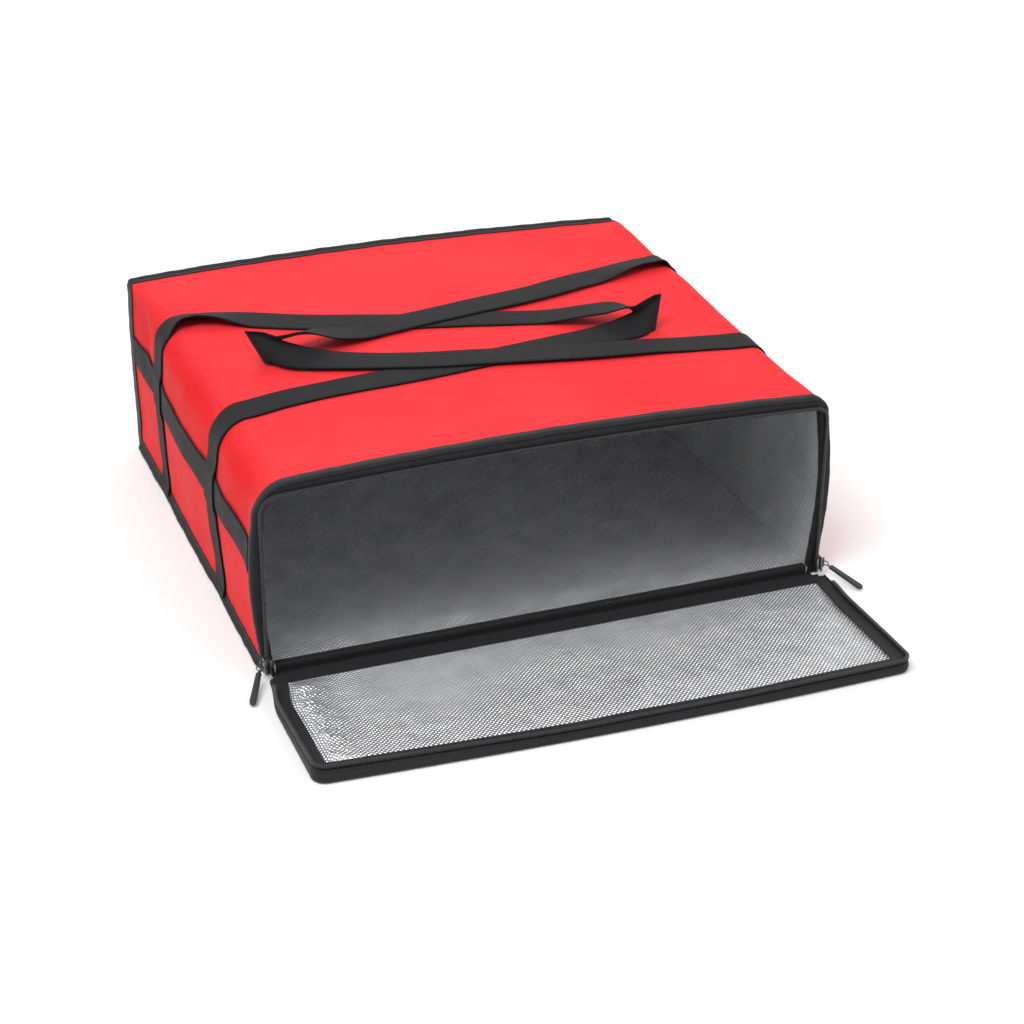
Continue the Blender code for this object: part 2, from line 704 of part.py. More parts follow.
def build_flap():
    edge = binding_thickness + layer_gap
    add_flap_plate("flap_outer_panel", edge, flap_panel_base, fabric_thickness, red, 0.75)
    add_flap_plate("flap_foam_board", edge, flap_foam_base, flap_foam_thickness, foam_white, 0.9)
    add_flap_plate("flap_foil_lining", edge, flap_foil_base, flap_foil_thickness, silver, 0.3, 1.0)

    bottom, top = flap_floor, flap_floor + flap_binding_top
    leg, wall = flap_binding_leg, binding_thickness
    stations = chain_stations(flap_root, flap_half_width, flap_top, chain_corner_radius + flap_overhang)
    loop = [
        (leg, bottom), (0, bottom), (0, top), (leg, top),
        (leg, top - wall), (wall, top - wall), (wall, bottom + wall), (leg, bottom + wall),
    ]
    bm = sweep(loop, stations, flap_point)
    open_flap(bm)
    add_object("flap_edge_binding", bm, black, 0.85)


def build_hinge_strip():
    """The fabric hinge under the mouth: a flat strip that ends in a rolled seam on the flap's fold line."""
    reach = bag_width / 2 - hinge_strip_inset
    cut = math.asin((hinge_height - fabric_thickness) / hinge_roll_radius)
    steps = 12
    turns = [-cut + (math.pi + 2 * cut) * i / steps for i in range(steps + 1)]
    roll = [(hinge_depth + hinge_roll_radius * math.cos(a), hinge_height + hinge_roll_radius * math.sin(a))
            for a in turns]
    outline = [(tape_back, 0), (tape_back, fabric_thickness)] + roll + [(roll[-1][0], 0)]
    bm = bmesh.new()
    rings = [[bm.verts.new(place(x, depth, z)) for depth, z in outline] for x in (-reach, reach)]
    count = len(outline)
    for i in range(count):
        j = (i + 1) % count
        bm.faces.new((rings[0][i], rings[0][j], rings[1][j], rings[1][i]))
    for ring in rings:
        bm.faces.new(ring)
    add_object("flap_hinge_strip", bm, black, 0.85)


# Sliders and pulls
def cuboid(bm, low, high):
    part = bmesh.ops.create_cube(bm, size=1)["verts"]
    low, high = Vector(low), Vector(high)
    bmesh.ops.scale(bm, vec=high - low, verts=part)
    bmesh.ops.translate(bm, vec=(low + high) / 2, verts=part)


def solid_from(pieces, name, colour, roughness, metallic):
    """One closed solid joined from simple shapes, each a bmesh."""
    body = add_object(name, pieces[0], colour, roughness, metallic)
    for index, piece in enumerate(pieces[1:]):
        other = add_object(f"{name}_joined_{index}", piece, colour, roughness, metallic)
        apply_boolean(body, other, "UNION")
    return body


def build_slider(side, label):
    """A slider parked at the foot of the chain: two plates, folded lips, a dividing post and a bridge for the pull."""
    centre_x = side * chain_half_width
    rear = place(0, tape_back - slider_room, 0).y
    front = place(0, flap_floor + flap_tape_base + slider_room, 0).y
    inner = tooth_thickness / 2 + slider_room
    outer = inner + slider_plate
    low = slider_height - slider_length / 2
    high = slider_height + slider_length / 2
    lip = slider_plate
    shapes = []
    for face in (-1, 1):
        bm = bmesh.new()
        cuboid(bm, (centre_x + min(face * inner, face * outer), front, low),
               (centre_x + max(face * inner, face * outer), rear, high))
        shapes.append(bm)
        for near in (front, rear - lip):
            bm = bmesh.new()
            a, b = sorted((face * slider_slot / 2, face * (inner + slider_plate / 2)))
            cuboid(bm, (centre_x + a, near, low), (centre_x + b, near + lip, high))
            shapes.append(bm)
    parting = place(0, teeth_front - chain_parting / 2, 0).y
    bm = bmesh.new()
    reach = inner + slider_plate / 2
    cuboid(bm, (centre_x - reach, parting - slider_post_width / 2, high - slider_post_length),
           (centre_x + reach, parting + slider_post_width / 2, high))
    shapes.append(bm)
    rod_x = centre_x + side * (outer + bridge_reach)
    for end in (-1, 1):
        bm = bmesh.new()
        foot_z = slider_height + end * bridge_half_length
        a, b = sorted((centre_x + side * (outer - slider_plate / 2), rod_x))
        cuboid(bm, (a, parting - bridge_wire, foot_z - bridge_wire), (b, parting + bridge_wire, foot_z + bridge_wire))
        shapes.append(bm)
    bm = bmesh.new()
    bmesh.ops.create_cone(bm, segments=8, radius1=bridge_wire * 1.05, radius2=bridge_wire * 1.05,
                          depth=2 * bridge_half_length + 2 * bridge_wire, cap_ends=True)
    bmesh.ops.translate(bm, vec=(rod_x, parting, slider_height), verts=bm.verts[:])
    shapes.append(bm)
    solid_from(shapes, label + "_zipper_slider", steel, 0.35, 1.0)
    return Vector((rod_x, parting, slider_height))


def build_pull(side, label, pivot):
    """The pull hangs from the bridge on a small ring, and points out and forward, its end near the floor."""
    turn = Matrix.Rotation(-side * (math.pi / 2 - pull_turn) - math.pi / 2, 3, "Z")
    heading = Vector((side * math.cos(pull_turn), -math.sin(pull_turn), 0))
    swing = heading.cross(Vector((0, 0, 1)))
    across = swing.normalized()
    ahead = (heading * math.cos(pull_dip) - Vector((0, 0, 1)) * math.sin(pull_dip)).normalized()
    upward = across.cross(ahead)
    frame = Matrix((ahead, across, upward)).transposed().to_4x4()
    frame.translation = pivot

    hang = bridge_wire + link_wire + layer_gap
    ring_middle = link_ring_radius - hang
    ring = bmesh.new()
    add_ring(ring, ring_middle, link_ring_radius, link_wire)
    shank = bmesh.new()
    shank_start = ring_middle + link_ring_radius
    cuboid(shank, (shank_start, -link_shank_width / 2, -link_shank_thickness / 2),
           (shank_start + link_shank_length, link_shank_width / 2, link_shank_thickness / 2))
    for bm in (ring, shank):
        bmesh.ops.transform(bm, matrix=frame, verts=bm.verts[:])
    solid_from([ring, shank], label + "_pull_link", steel, 0.35, 1.0)

    start = shank_start + link_neck_length
    tab = bmesh.new()
    add_tab(tab, start, pull_length)
    bmesh.ops.transform(tab, matrix=frame, verts=tab.verts[:])
    body = add_object(label + "_pull_tab", tab, black, 0.6)
    pocket = bmesh.new()
    cuboid(pocket, (start - layer_gap, -link_shank_width / 2 - layer_gap, -link_shank_thickness / 2 - layer_gap),
           (shank_start + link_shank_length + layer_gap, link_shank_width / 2 + layer_gap,
            link_shank_thickness / 2 + layer_gap))
    bmesh.ops.transform(pocket, matrix=frame, verts=pocket.verts[:])
    cutter = add_object(label + "_pull_pocket", pocket, black, 0.6)
    apply_boolean(body, cutter, "DIFFERENCE")
    return across


def add_ring(bm, middle, radius, wire):
    """A ring lying in the pull's own plane, its wire round in section."""
    around, section = 16, 6
    loops = []
    for i in range(around):
        a = 2 * math.pi * i / around
        loop = []
        for k in range(section):
            b = 2 * math.pi * k / section
            reach = radius + wire * math.cos(b)
            loop.append(bm.verts.new((middle + reach * math.cos(a), reach * math.sin(a), wire * math.sin(b))))
        loops.append(loop)
    for i in range(around):
        for k in range(section):
            n = (k + 1) % section
            bm.faces.new((loops[i][k], loops[i][n], loops[(i + 1) % around][n], loops[(i + 1) % around][k]))


def add_tab(bm, start, length):
    """A flat tab with a round far end and softened long edges."""
    half = pull_width / 2
    steps = 6
    end = start + length - half
    outline = [(start, -half * tab_neck_share), (start + half, -half * tab_neck_share), (end - pull_width, -half)]
    for i in range(steps + 1):
        a = -math.pi / 2 + math.pi * i / steps
        outline.append((end + half * math.cos(a), half * math.sin(a)))
    outline += [(end - pull_width, half), (start + half, half * tab_neck_share), (start, half * tab_neck_share)]
    rings = [[bm.verts.new((x, y, z)) for x, y in outline] for z in (-pull_thickness / 2, pull_thickness / 2)]
    count = len(outline)
    for i in range(count):
        j = (i + 1) % count
        bm.faces.new((rings[0][i], rings[0][j], rings[1][j], rings[1][i]))
    for ring in rings:
        bm.faces.new(ring)


def build_sliders():
    for side, label in ((-1, "left"), (1, "right")):
        pivot = build_slider(side, label)
        across = build_pull(side, label, pivot)
        print(label, "pull pivot", [round(v, 6) for v in pivot], "axis", [round(v, 6) for v in across])


def main():
    for obj in list(bpy.data.objects):
        bpy.data.objects.remove(obj)
    build_walls()
    build_bindings()
    build_side_webbing()
    build_handles()
    build_zipper()
    build_flap()
    build_hinge_strip()
    build_sliders()
    fold_line = bag_width / 2 - handle_hinge_inset
    print("flap hinge", [round(v, 6) for v in place(0, hinge_depth, hinge_height)])
    print("handle fold line x", round(fold_line, 6), "height",
          round(top_surface(fold_line, right_front_strap_depth) + webbing_gap + webbing_thickness, 6))


main()
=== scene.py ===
import json
import math

import bmesh
import bpy
import numpy as np
from mathutils import Matrix, Vector, noise


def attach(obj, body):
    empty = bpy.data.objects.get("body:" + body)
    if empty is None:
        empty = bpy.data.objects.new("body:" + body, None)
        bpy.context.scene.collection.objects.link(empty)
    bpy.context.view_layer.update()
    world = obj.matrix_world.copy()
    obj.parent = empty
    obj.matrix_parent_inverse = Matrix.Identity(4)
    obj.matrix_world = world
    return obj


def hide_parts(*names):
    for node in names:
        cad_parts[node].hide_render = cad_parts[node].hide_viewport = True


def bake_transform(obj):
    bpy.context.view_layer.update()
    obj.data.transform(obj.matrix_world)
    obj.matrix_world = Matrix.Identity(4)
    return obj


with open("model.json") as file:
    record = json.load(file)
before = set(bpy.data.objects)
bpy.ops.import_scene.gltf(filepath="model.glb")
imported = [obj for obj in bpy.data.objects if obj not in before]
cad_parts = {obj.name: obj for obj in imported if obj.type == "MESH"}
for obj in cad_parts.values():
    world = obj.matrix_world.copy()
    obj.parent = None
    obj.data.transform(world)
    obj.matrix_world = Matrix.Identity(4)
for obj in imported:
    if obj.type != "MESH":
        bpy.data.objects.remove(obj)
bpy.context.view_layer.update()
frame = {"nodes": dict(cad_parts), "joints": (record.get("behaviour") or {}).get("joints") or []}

print("frame loaded:", len(frame["nodes"]), "parts")

# The bag's main sizes in metres, the same as the solids have
bag = dict(
    width=0.500, depth=0.465, height=0.170,
    sideBulge=0.008, topCrown=0.008, backSide=0.10, backTop=0.80,
    frontRadius=0.026, rightFrontRadius=0.013, backRadius=0.004, seamDepth=0.010, leastRadius=0.0008,
)
layers = dict(fabric=0.0008, foam=0.005, foil=0.0005, gap=0.0003)
webbing = dict(width=0.032, thickness=0.0014, gap=0.0005, crossing=0.0004, ramp=0.010, bevel=0.0004)
sides = ((-1, "left"), (1, "right"))


# Small helpers
def deselectAll():
    for obj in list(bpy.context.selected_objects):
        obj.select_set(False)


def makeActive(obj):
    deselectAll()
    obj.select_set(True)
    bpy.context.view_layer.objects.active = obj


def startEdit(obj):
    makeActive(obj)
    bpy.ops.object.mode_set(mode="EDIT")
    bpy.ops.mesh.select_all(action="SELECT")


def endEdit(obj):
    bpy.ops.object.mode_set(mode="OBJECT")
    return obj


def applyModifier(obj, kind, **settings):
    makeActive(obj)
    bpy.ops.object.modifier_add(type=kind)
    mod = obj.modifiers[-1]
    for key, value in settings.items():
        setattr(mod, key, value)
    bpy.ops.object.modifier_apply(modifier=mod.name)


def softenEdges(obj, width, segments, degrees):
    # Bevels the edges that turn by more than that many degrees
    applyModifier(obj, "BEVEL", width=width, segments=segments, limit_method="ANGLE",
                  angle_limit=math.radians(degrees), use_clamp_overlap=True)


def smoothStep(value, low=0.0, high=1.0):
    share = min(max((value - low) / (high - low), 0), 1)
    return share * share * (3 - 2 * share)


def between(value, low, high, fade):
    # One inside low to high, nought outside, with a soft step at either end
    return smoothStep(value - low, 0, fade) * smoothStep(high - value, 0, fade)


def mix(a, b, share):
    return a + (b - a) * share


def bump(value, reach):
    return math.exp(-(value / reach) ** 2)


def waver(x, y, z):
    # A smooth uneven value between about -1 and 1, the same in each run
    return noise.noise(Vector((x, y, z)))


def crease(x, y, z, smoothness=0.9):
    # The same with sharp valleys, as creased film has
    return abs(noise.fractal(Vector((x, y, z)), smoothness, 2.1, 3))


def turnOver(obj):
    startEdit(obj)
    bpy.ops.mesh.flip_normals()
    return endEdit(obj)


def faceOut(obj):
    # A closed mesh that is inside out has a volume below nought
    form = bmesh.new()
    form.from_mesh(obj.data)
    insideOut = form.calc_volume(signed=True) < 0
    form.free()
    if insideOut:
        turnOver(obj)


def smoothShade(obj, degrees=40):
    makeActive(obj)
    bpy.ops.object.shade_smooth_by_angle(angle=math.radians(degrees))


def addGrid(name, rows, columns, spotAt, size=(1.0, 1.0)):
    # A flat grid whose points are then moved to where spotAt(row, column) says; its UV map is in metres
    deselectAll()
    bpy.ops.mesh.primitive_grid_add(x_subdivisions=rows, y_subdivisions=columns, size=2, location=(0, 0, 0))
    obj = bpy.context.object
    obj.name = obj.data.name = name
    layer = obj.data.uv_layers.active
    layer.name = "cloth"
    uvs = np.empty(len(layer.data) * 2)
    layer.data.foreach_get("uv", uvs)
    uvs = uvs.reshape(-1, 2) * np.array(size)
    layer.data.foreach_set("uv", uvs.ravel())
    for vert in obj.data.vertices:
        row = round((vert.co.x + 1) / 2 * rows)
        column = round((vert.co.y + 1) / 2 * columns)
        vert.co = spotAt(row, column)
    return obj


def thicken(obj, thickness, bevel=0.0, segments=1):
    # The grid is the outer face; the wall grows to the side away from the direction it faces
    applyModifier(obj, "SOLIDIFY", thickness=thickness, offset=-1, use_even_offset=False)
    if bevel:
        softenEdges(obj, bevel, segments, 50)
    faceOut(obj)
    smoothShade(obj)
    return obj


def closeTube(obj):
    # Joins the grid's two long edges and caps its ends
    startEdit(obj)
    bpy.ops.mesh.remove_doubles(threshold=1e-6)
    bpy.ops.mesh.fill_holes(sides=0)
    bpy.ops.mesh.select_all(action="SELECT")
    bpy.ops.mesh.normals_make_consistent(inside=False)
    endEdit(obj)
    faceOut(obj)
    smoothShade(obj)
    return obj


def copyNode(node, name):
    # A copy of a part's own mesh, merged and with its flat faces made whole, ready for bevels
    obj = bpy.data.objects.new(name, frame["nodes"][node].data.copy())
    bpy.context.scene.collection.objects.link(obj)
    startEdit(obj)
    bpy.ops.mesh.remove_doubles(threshold=1e-6)
    bpy.ops.mesh.dissolve_limited(angle_limit=math.radians(1))
    return endEdit(obj)


def roundedBlock(size, bevel):
    deselectAll()
    bpy.ops.mesh.primitive_cube_add(size=1, location=(0, 0, 0))
    obj = bpy.context.object
    obj.scale = size
    bpy.ops.object.transform_apply(location=False, rotation=False, scale=True)
    startEdit(obj)
    bpy.ops.mesh.bevel(offset=bevel, segments=1, affect="EDGES")
    return endEdit(obj)


def repeatAlong(name, unit, spots):
    # One mesh of many copies of a small unit; each spot gives a place and the unit's three directions
    points = np.array([vert.co for vert in unit.data.vertices])
    faces = [tuple(poly.vertices) for poly in unit.data.polygons]
    allPoints, allFaces = [], []
    for place, ahead, across, up in spots:
        base = len(allPoints) * len(points)
        turn = np.array([ahead, across, up])
        allPoints.append(points @ turn + np.array(place))
        allFaces += [tuple(base + index for index in face) for face in faces]
    mesh = bpy.data.meshes.new(name)
    mesh.from_pydata(np.concatenate(allPoints).tolist(), [], allFaces)
    mesh.shade_smooth()
    obj = bpy.data.objects.new(name, mesh)
    bpy.context.scene.collection.objects.link(obj)
    bpy.data.objects.remove(unit)
    return obj


def evenSpots(points, pitch, offset=0.0):
    # Places at an even pitch along a line: the stretch each is on, the place itself and the way ahead
    out, distance = [], offset
    for index, (a, b) in enumerate(zip(points, points[1:])):
        run = (b - a).length
        while distance < run:
            out.append((index, a.lerp(b, distance / run), (b - a).normalized()))
            distance += pitch
        distance -= run
    return out


def sharesOf(count):
    return [i / count for i in range(count + 1)]


def runsAlong(points):
    runs = [0]
    for a, b in zip(points, points[1:]):
        runs.append(runs[-1] + (b - a).length)
    return runs


# What a finished piece gets: its material, the body it rides on and the nodes it stands for
def dress(obj, material):
    obj.data.materials.clear()
    obj.data.materials.append(material)


def finishPiece(obj, material, body, slot, *nodes):
    dress(obj, material)
    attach(obj, body)
    if nodes:
        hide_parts(*nodes)


def finishSheet(obj, thickness, material, body, slot, node, **cut):
    thicken(obj, thickness)
    finishPiece(obj, material, body, slot, node)


def finishFoam(obj, thickness, body, node):
    thicken(obj, thickness)
    finishPiece(obj, whiteFoam, body, "foam", node)


# Materials
def newMaterial(name):
    mat = bpy.data.materials.new(name)
    mat.use_nodes = True
    return mat, mat.node_tree, mat.node_tree.nodes["Principled BSDF"]


def setInputs(node, values):
    # Each value is a number, a vector, a colour or the output of another node
    for key, value in values.items():
        if isinstance(value, bpy.types.NodeSocket):
            node.id_data.links.new(value, node.inputs[key])
        else:
            node.inputs[key].default_value = value


def addNode(tree, kind, values, output=0, **settings):
    node = tree.nodes.new("ShaderNode" + kind)
    for key, value in settings.items():
        setattr(node, key, value)
    setInputs(node, values)
    return node.outputs[output]


def mathNode(tree, operation, *values):
    return addNode(tree, "Math", dict(enumerate(values)), operation=operation)


def rampNode(tree, source, stops):
    output = addNode(tree, "ValToRGB", {0: source})
    elements = output.node.color_ramp.elements
    while len(elements) < len(stops):
        elements.new(0.5)
    for element, (position, colour) in zip(elements, stops):
        element.position = position
        element.color = (*colour, 1)
    return output


def shadeOf(tree, tone, look):
    # From the look's dark colour to its light one
    return rampNode(tree, tone, list(zip(look["stops"], (look["dark"], look["light"]))))


def roughOf(tree, tone, look, way=1):
    # The look's roughness, uneven to either side with the tone
    spread = way * look["uneven"]
    return mathNode(tree, "MULTIPLY_ADD", tone, 2 * spread, look["roughness"] - spread)


def bumpNode(tree, height, strength, distance, base=None):
    values = {"Height": height, "Strength": strength, "Distance": distance}
    if base is not None:
        values["Normal"] = base
    return addNode(tree, "Bump", values)


def clothVector(tree):
    return addNode(tree, "UVMap", {}, uv_map="cloth")


def objectVector(tree):
    return addNode(tree, "TexCoord", {}, "Object")


def noiseNode(tree, scale, detail, roughness):
    values = {"Vector": objectVector(tree), "Scale": scale, "Detail": detail, "Roughness": roughness}
    return addNode(tree, "TexNoise", values, "Fac")


waveLength = 2 * math.pi / 20  # Blender's wave texture repeats at this length when its scale is 1


def waveNode(tree, vector, pitch, axis, distortion=0.0):
    # A sine wave whose period is the pitch, in metres
    values = {"Vector": vector, "Scale": waveLength / pitch, "Distortion": distortion}
    return addNode(tree, "TexWave", values, "Fac",
                   wave_type="BANDS", bands_direction=axis, wave_profile="SIN")


def wovenCloth(name, look):
    # Plain-woven cloth: threads both ways, a slow change of shade and a little sheen
    mat, tree, shader = newMaterial(name)
    cloth = clothVector(tree)
    warp, weft = [waveNode(tree, cloth, look["thread"], axis) for axis in "XY"]
    weave = mathNode(tree, "MULTIPLY", warp, weft)
    slow = noiseNode(tree, look["shadeScale"], 4.0, 0.6)
    fine = noiseNode(tree, look["grainScale"], 2.0, 0.6)
    tone = mathNode(tree, "ADD", mathNode(tree, "MULTIPLY", slow, look["shadeShare"]),
                    mathNode(tree, "MULTIPLY", weave, look["weaveShare"]))
    tone = mathNode(tree, "ADD", tone, mathNode(tree, "MULTIPLY", fine, look["grainShare"]))
    if look["paintedLightAndShade"]:
        # Painted light and shade by height: a painted highlight high on the top and a painted deeper shade
        # lower down, where it bends over the shoulders
        height = addNode(tree, "SeparateXYZ", {0: objectVector(tree)}, "Z")
        share = mathNode(tree, "DIVIDE", height, bag["height"])
        fade = rampNode(tree, share, [(at, (shade, shade, shade)) for at, shade in look["paintedLightAndShade"]])
        tone = mathNode(tree, "ADD", tone, mathNode(tree, "SUBTRACT", fade, 0.5))
    wide = bumpNode(tree, slow, 0.25, look["waves"])
    setInputs(shader, {
        "Base Color": shadeOf(tree, tone, look), "Roughness": roughOf(tree, fine, look),
        "Normal": bumpNode(tree, weave, look["bump"], look["thread"] * look["relief"], wide),
        "Sheen Weight": look["sheen"], "Sheen Roughness": look["sheenRoughness"],
        "Sheen Tint": (*look["sheenTint"], 1), "Specular IOR Level": look["specular"],
    })
    return mat


def ribbedWebbing(name, look):
    # Webbing or tape: ribs across it, rows along it that step like a herringbone
    mat, tree, shader = newMaterial(name)
    cloth = clothVector(tree)
    turned = addNode(tree, "Mapping", {"Vector": cloth, "Rotation": (0, 0, look["twill"])})
    ribs = waveNode(tree, turned, look["rib"], "X", 0.3)
    rows = mathNode(tree, "MULTIPLY", waveNode(tree, cloth, look["row"], "Y"), 1 - look["ribShare"])
    weave = mathNode(tree, "MULTIPLY_ADD", ribs, look["ribShare"], rows)
    fuzz = noiseNode(tree, look["fuzzScale"], 3.0, 0.65)
    slow = noiseNode(tree, look["shadeScale"], 3.0, 0.5)
    soft = mathNode(tree, "MULTIPLY", mathNode(tree, "ADD", fuzz, slow), look["fuzzShare"])
    tone = mathNode(tree, "MULTIPLY_ADD", weave, look["weaveShare"], soft)
    if look["width"]:
        # The two selvedges are a little darker
        across = addNode(tree, "SeparateXYZ", {0: cloth}, "Y")
        away = mathNode(tree, "ABSOLUTE", mathNode(tree, "SUBTRACT", across, look["width"] / 2))
        edge = mathNode(tree, "GREATER_THAN", away, look["width"] / 2 - look["selvedge"])
        tone = mathNode(tree, "SUBTRACT", tone, mathNode(tree, "MULTIPLY", edge, look["selvedgeShade"]))
    fuzzBump = bumpNode(tree, fuzz, 0.25, look["fuzz"])
    setInputs(shader, {
        "Base Color": shadeOf(tree, tone, look), "Roughness": look["roughness"],
        "Normal": bumpNode(tree, weave, look["bump"], look["rib"] * look["relief"], fuzzBump),
        "Sheen Weight": look["sheen"], "Sheen Roughness": look["sheenRoughness"],
        "Specular IOR Level": look["specular"],
    })
    return mat


def embossedFoil(name, look):
    # Silver film over foam, pressed into small diamonds; its colour is darker in the hollows between the
    # diamonds and in the valleys of its creases, a painted shade
    mat, tree, shader = newMaterial(name)
    turned = addNode(tree, "Mapping", {"Vector": clothVector(tree), "Rotation": (0, 0, math.radians(45))})
    one, two = [waveNode(tree, turned, look["pitch"], axis) for axis in "XY"]
    pillows = mathNode(tree, "POWER", mathNode(tree, "MULTIPLY", one, two), look["softness"])
    wrinkle = noiseNode(tree, look["wrinkleScale"], 4.0, 0.62)
    # Painted shade: the tone follows the height of the diamonds and the creases, so the film is darker in
    # their hollows
    tone = mathNode(tree, "MULTIPLY_ADD", pillows, look["pillowShare"],
                    mathNode(tree, "MULTIPLY", wrinkle, look["wrinkleShare"]))
    creased = bumpNode(tree, wrinkle, look["wrinkleBump"], look["wrinkleRelief"])
    setInputs(shader, {
        "Base Color": shadeOf(tree, tone, look), "Roughness": roughOf(tree, pillows, look, -1),
        "Metallic": look["metallic"],
        "Normal": bumpNode(tree, pillows, look["bump"], look["pitch"] * look["relief"], creased),
    })
    return mat


def closedCellFoam(name, look):
    mat, tree, shader = newMaterial(name)
    cells = addNode(tree, "TexVoronoi", {"Vector": objectVector(tree), "Scale": look["scale"]}, "Distance")
    setInputs(shader, {
        "Base Color": rampNode(tree, cells, [(0.0, look["bubble"]), (0.8, look["wall"])]),
        "Roughness": look["roughness"], "Normal": bumpNode(tree, cells, 0.4, look["relief"]),
    })
    return mat


def castMetal(name, look):
    mat, tree, shader = newMaterial(name)
    marks = noiseNode(tree, look["markScale"], 4.0, 0.7)
    wear = noiseNode(tree, look["wearScale"], 3.0, 0.6)
    setInputs(shader, {
        "Base Color": shadeOf(tree, wear, look), "Roughness": roughOf(tree, wear, look), "Metallic": 1.0,
        "Normal": bumpNode(tree, marks, 0.2, look["relief"]),
    })
    return mat


def mouldedPlastic(name, look):
    mat, tree, shader = newMaterial(name)
    grain = noiseNode(tree, look["grain"], 3.0, 0.6)
    setInputs(shader, {
        "Base Color": shadeOf(tree, grain, look), "Roughness": look["roughness"],
        "Normal": bumpNode(tree, grain, 0.3, look["relief"]),
    })
    return mat


redLook = dict(
    dark=(0.68, 0.010, 0.014), light=(0.87, 0.031, 0.038), stops=(0.15, 0.75), thread=0.0006, relief=0.25,
    shadeScale=9.0, grainScale=420.0, shadeShare=0.55, weaveShare=0.25, grainShare=0.20, waves=0.0006,
    roughness=0.62, uneven=0.06, bump=0.35, sheen=0.03, sheenRoughness=0.45, sheenTint=(1.0, 0.60, 0.60),
    specular=0.08, paintedLightAndShade=(),
)
# The wrap's red is the same cloth with painted light and shade by height: a painted highlight on the top and
# painted shade over the shoulders
wrapLook = dict(
    redLook, light=(0.88, 0.037, 0.045), paintedLightAndShade=((0.55, 0.46), (0.78, 0.26), (0.92, 0.26), (1.0, 0.68)),
)
liningLook = dict(redLook, dark=(0.56, 0.010, 0.015), light=(0.74, 0.020, 0.026))
webLook = dict(
    dark=(0.004, 0.004, 0.0045), light=(0.022, 0.022, 0.024), stops=(0.1, 0.8), twill=math.radians(38),
    rib=0.0016, row=0.0026, relief=0.25, ribShare=0.6, weaveShare=0.55, fuzzShare=0.22, fuzzScale=900,
    fuzz=0.0002, shadeScale=18, roughness=0.80, bump=0.7, sheen=0.05, sheenRoughness=0.4, specular=0.14,
    width=webbing["width"], selvedge=0.0022, selvedgeShade=0.35,
)
bindingLook = dict(
    webLook, light=(0.020, 0.020, 0.022), twill=0.0, rib=0.0011, row=0.004, bump=0.5, roughness=0.62,
    specular=0.24, width=0,
)
tapeLook = dict(bindingLook, rib=0.0008, row=0.0012, bump=0.4)
# The foil's dark colour is the painted shade in the hollows of its diamonds and creases
foilLook = dict(
    dark=(0.30, 0.30, 0.31), light=(0.95, 0.95, 0.96), stops=(0.12, 0.55), pitch=0.0028, softness=0.8,
    relief=0.28, pillowShare=0.75, wrinkleShare=0.35, wrinkleScale=34.0, wrinkleBump=0.6,
    wrinkleRelief=0.0012, roughness=0.24, uneven=0.08, bump=1.0, metallic=0.70,
)
foamLook = dict(bubble=(0.86, 0.86, 0.84), wall=(0.70, 0.70, 0.68), scale=650, roughness=0.9, relief=0.0004)
metalLook = dict(
    dark=(0.09, 0.09, 0.095), light=(0.24, 0.24, 0.25), stops=(0.3, 0.7), markScale=1400, wearScale=160,
    roughness=0.34, uneven=0.1, relief=0.0001,
)
coilLook = dict(
    dark=(0.018, 0.018, 0.019), light=(0.045, 0.045, 0.048), stops=(0.3, 0.7), grain=800, roughness=0.38,
    relief=0.0001,
)
rubberLook = dict(
    coilLook, dark=(0.010, 0.010, 0.011), light=(0.024, 0.024, 0.026), grain=600, roughness=0.45,
)
threadLook = dict(
    coilLook, dark=(0.010, 0.010, 0.011), light=(0.050, 0.050, 0.054), grain=2000, roughness=0.6,
)
redCloth = wovenCloth("red coated cloth", redLook)
wrapCloth = wovenCloth("red wrap cloth", wrapLook)
redUnderside = wovenCloth("red bottom cloth", liningLook)
blackWebbing = ribbedWebbing("black webbing", webLook)
blackBinding = ribbedWebbing("black binding", bindingLook)
zipperTape = ribbedWebbing("zipper tape", tapeLook)
silverFoil = embossedFoil("silver foil", foilLook)
whiteFoam = closedCellFoam("white foam", foamLook)
nickelMetal = castMetal("slider metal", metalLook)
blackCoil = mouldedPlastic("black nylon coil", coilLook)
blackRubber = mouldedPlastic("black rubber", rubberLook)
blackThread = mouldedPlastic("black thread", threadLook)
print("materials made")


# The soft box that every layer of the wall follows
softness = dict(
    seamFade=0.032, belly=0.0020, bellyShare=0.28, leftSlim=0.0026,
    ripple=0.0024, rippleSize=0.075, topRipple=0.45, wallFade=(1.0, 2.1), sewnFade=(2.0, 2.08),
    dimple=0.00072, dimpleRun=0.028, dimpleDepth=0.034, topDimple=0.3,
    strapPull=dict(left=0.0010, right=0.0003), strapReach=0.026,
    pucker=0.0007, puckerPitch=0.011, puckerReach=0.016,
    shoulderRun=0.2444, shoulderReach=0.0085,
    rightFill=dict(rise=0.0052, reach=0.026, start=0.20, full=0.29, end=0.020),
    shoulderDents=((0.150, 0.335, 0.0050), (0.016, 0.126, 0.0030)), dentFade=0.035,
    cornerDent=dict(run=0.281, depth=0.404, runReach=0.022, depthReach=0.020, drop=0.0040),
)
strapDepths = dict(left=(0.140, 0.345), right=(0.132, 0.330))

# A place on the wrap is told by u: 0 to 1 up the left wall, to 2 round its shoulder, to 3 over the top,
# to 4 round the right shoulder and to 5 down the right wall
wrapEnd = 5
wallRun = bag["height"] - bag["frontRadius"]
arcRun = bag["frontRadius"] * math.pi / 2
topRun = bag["width"] - 2 * bag["frontRadius"]
wrapRun = 2 * (wallRun + arcRun) + topRun


def nearFoot(u):
    # The same place counted up from the nearer foot
    return min(u, wrapEnd - u)


def fromFoot(side, t):
    # And back: side is below nought on the left
    return t if side < 0 else wrapEnd - t


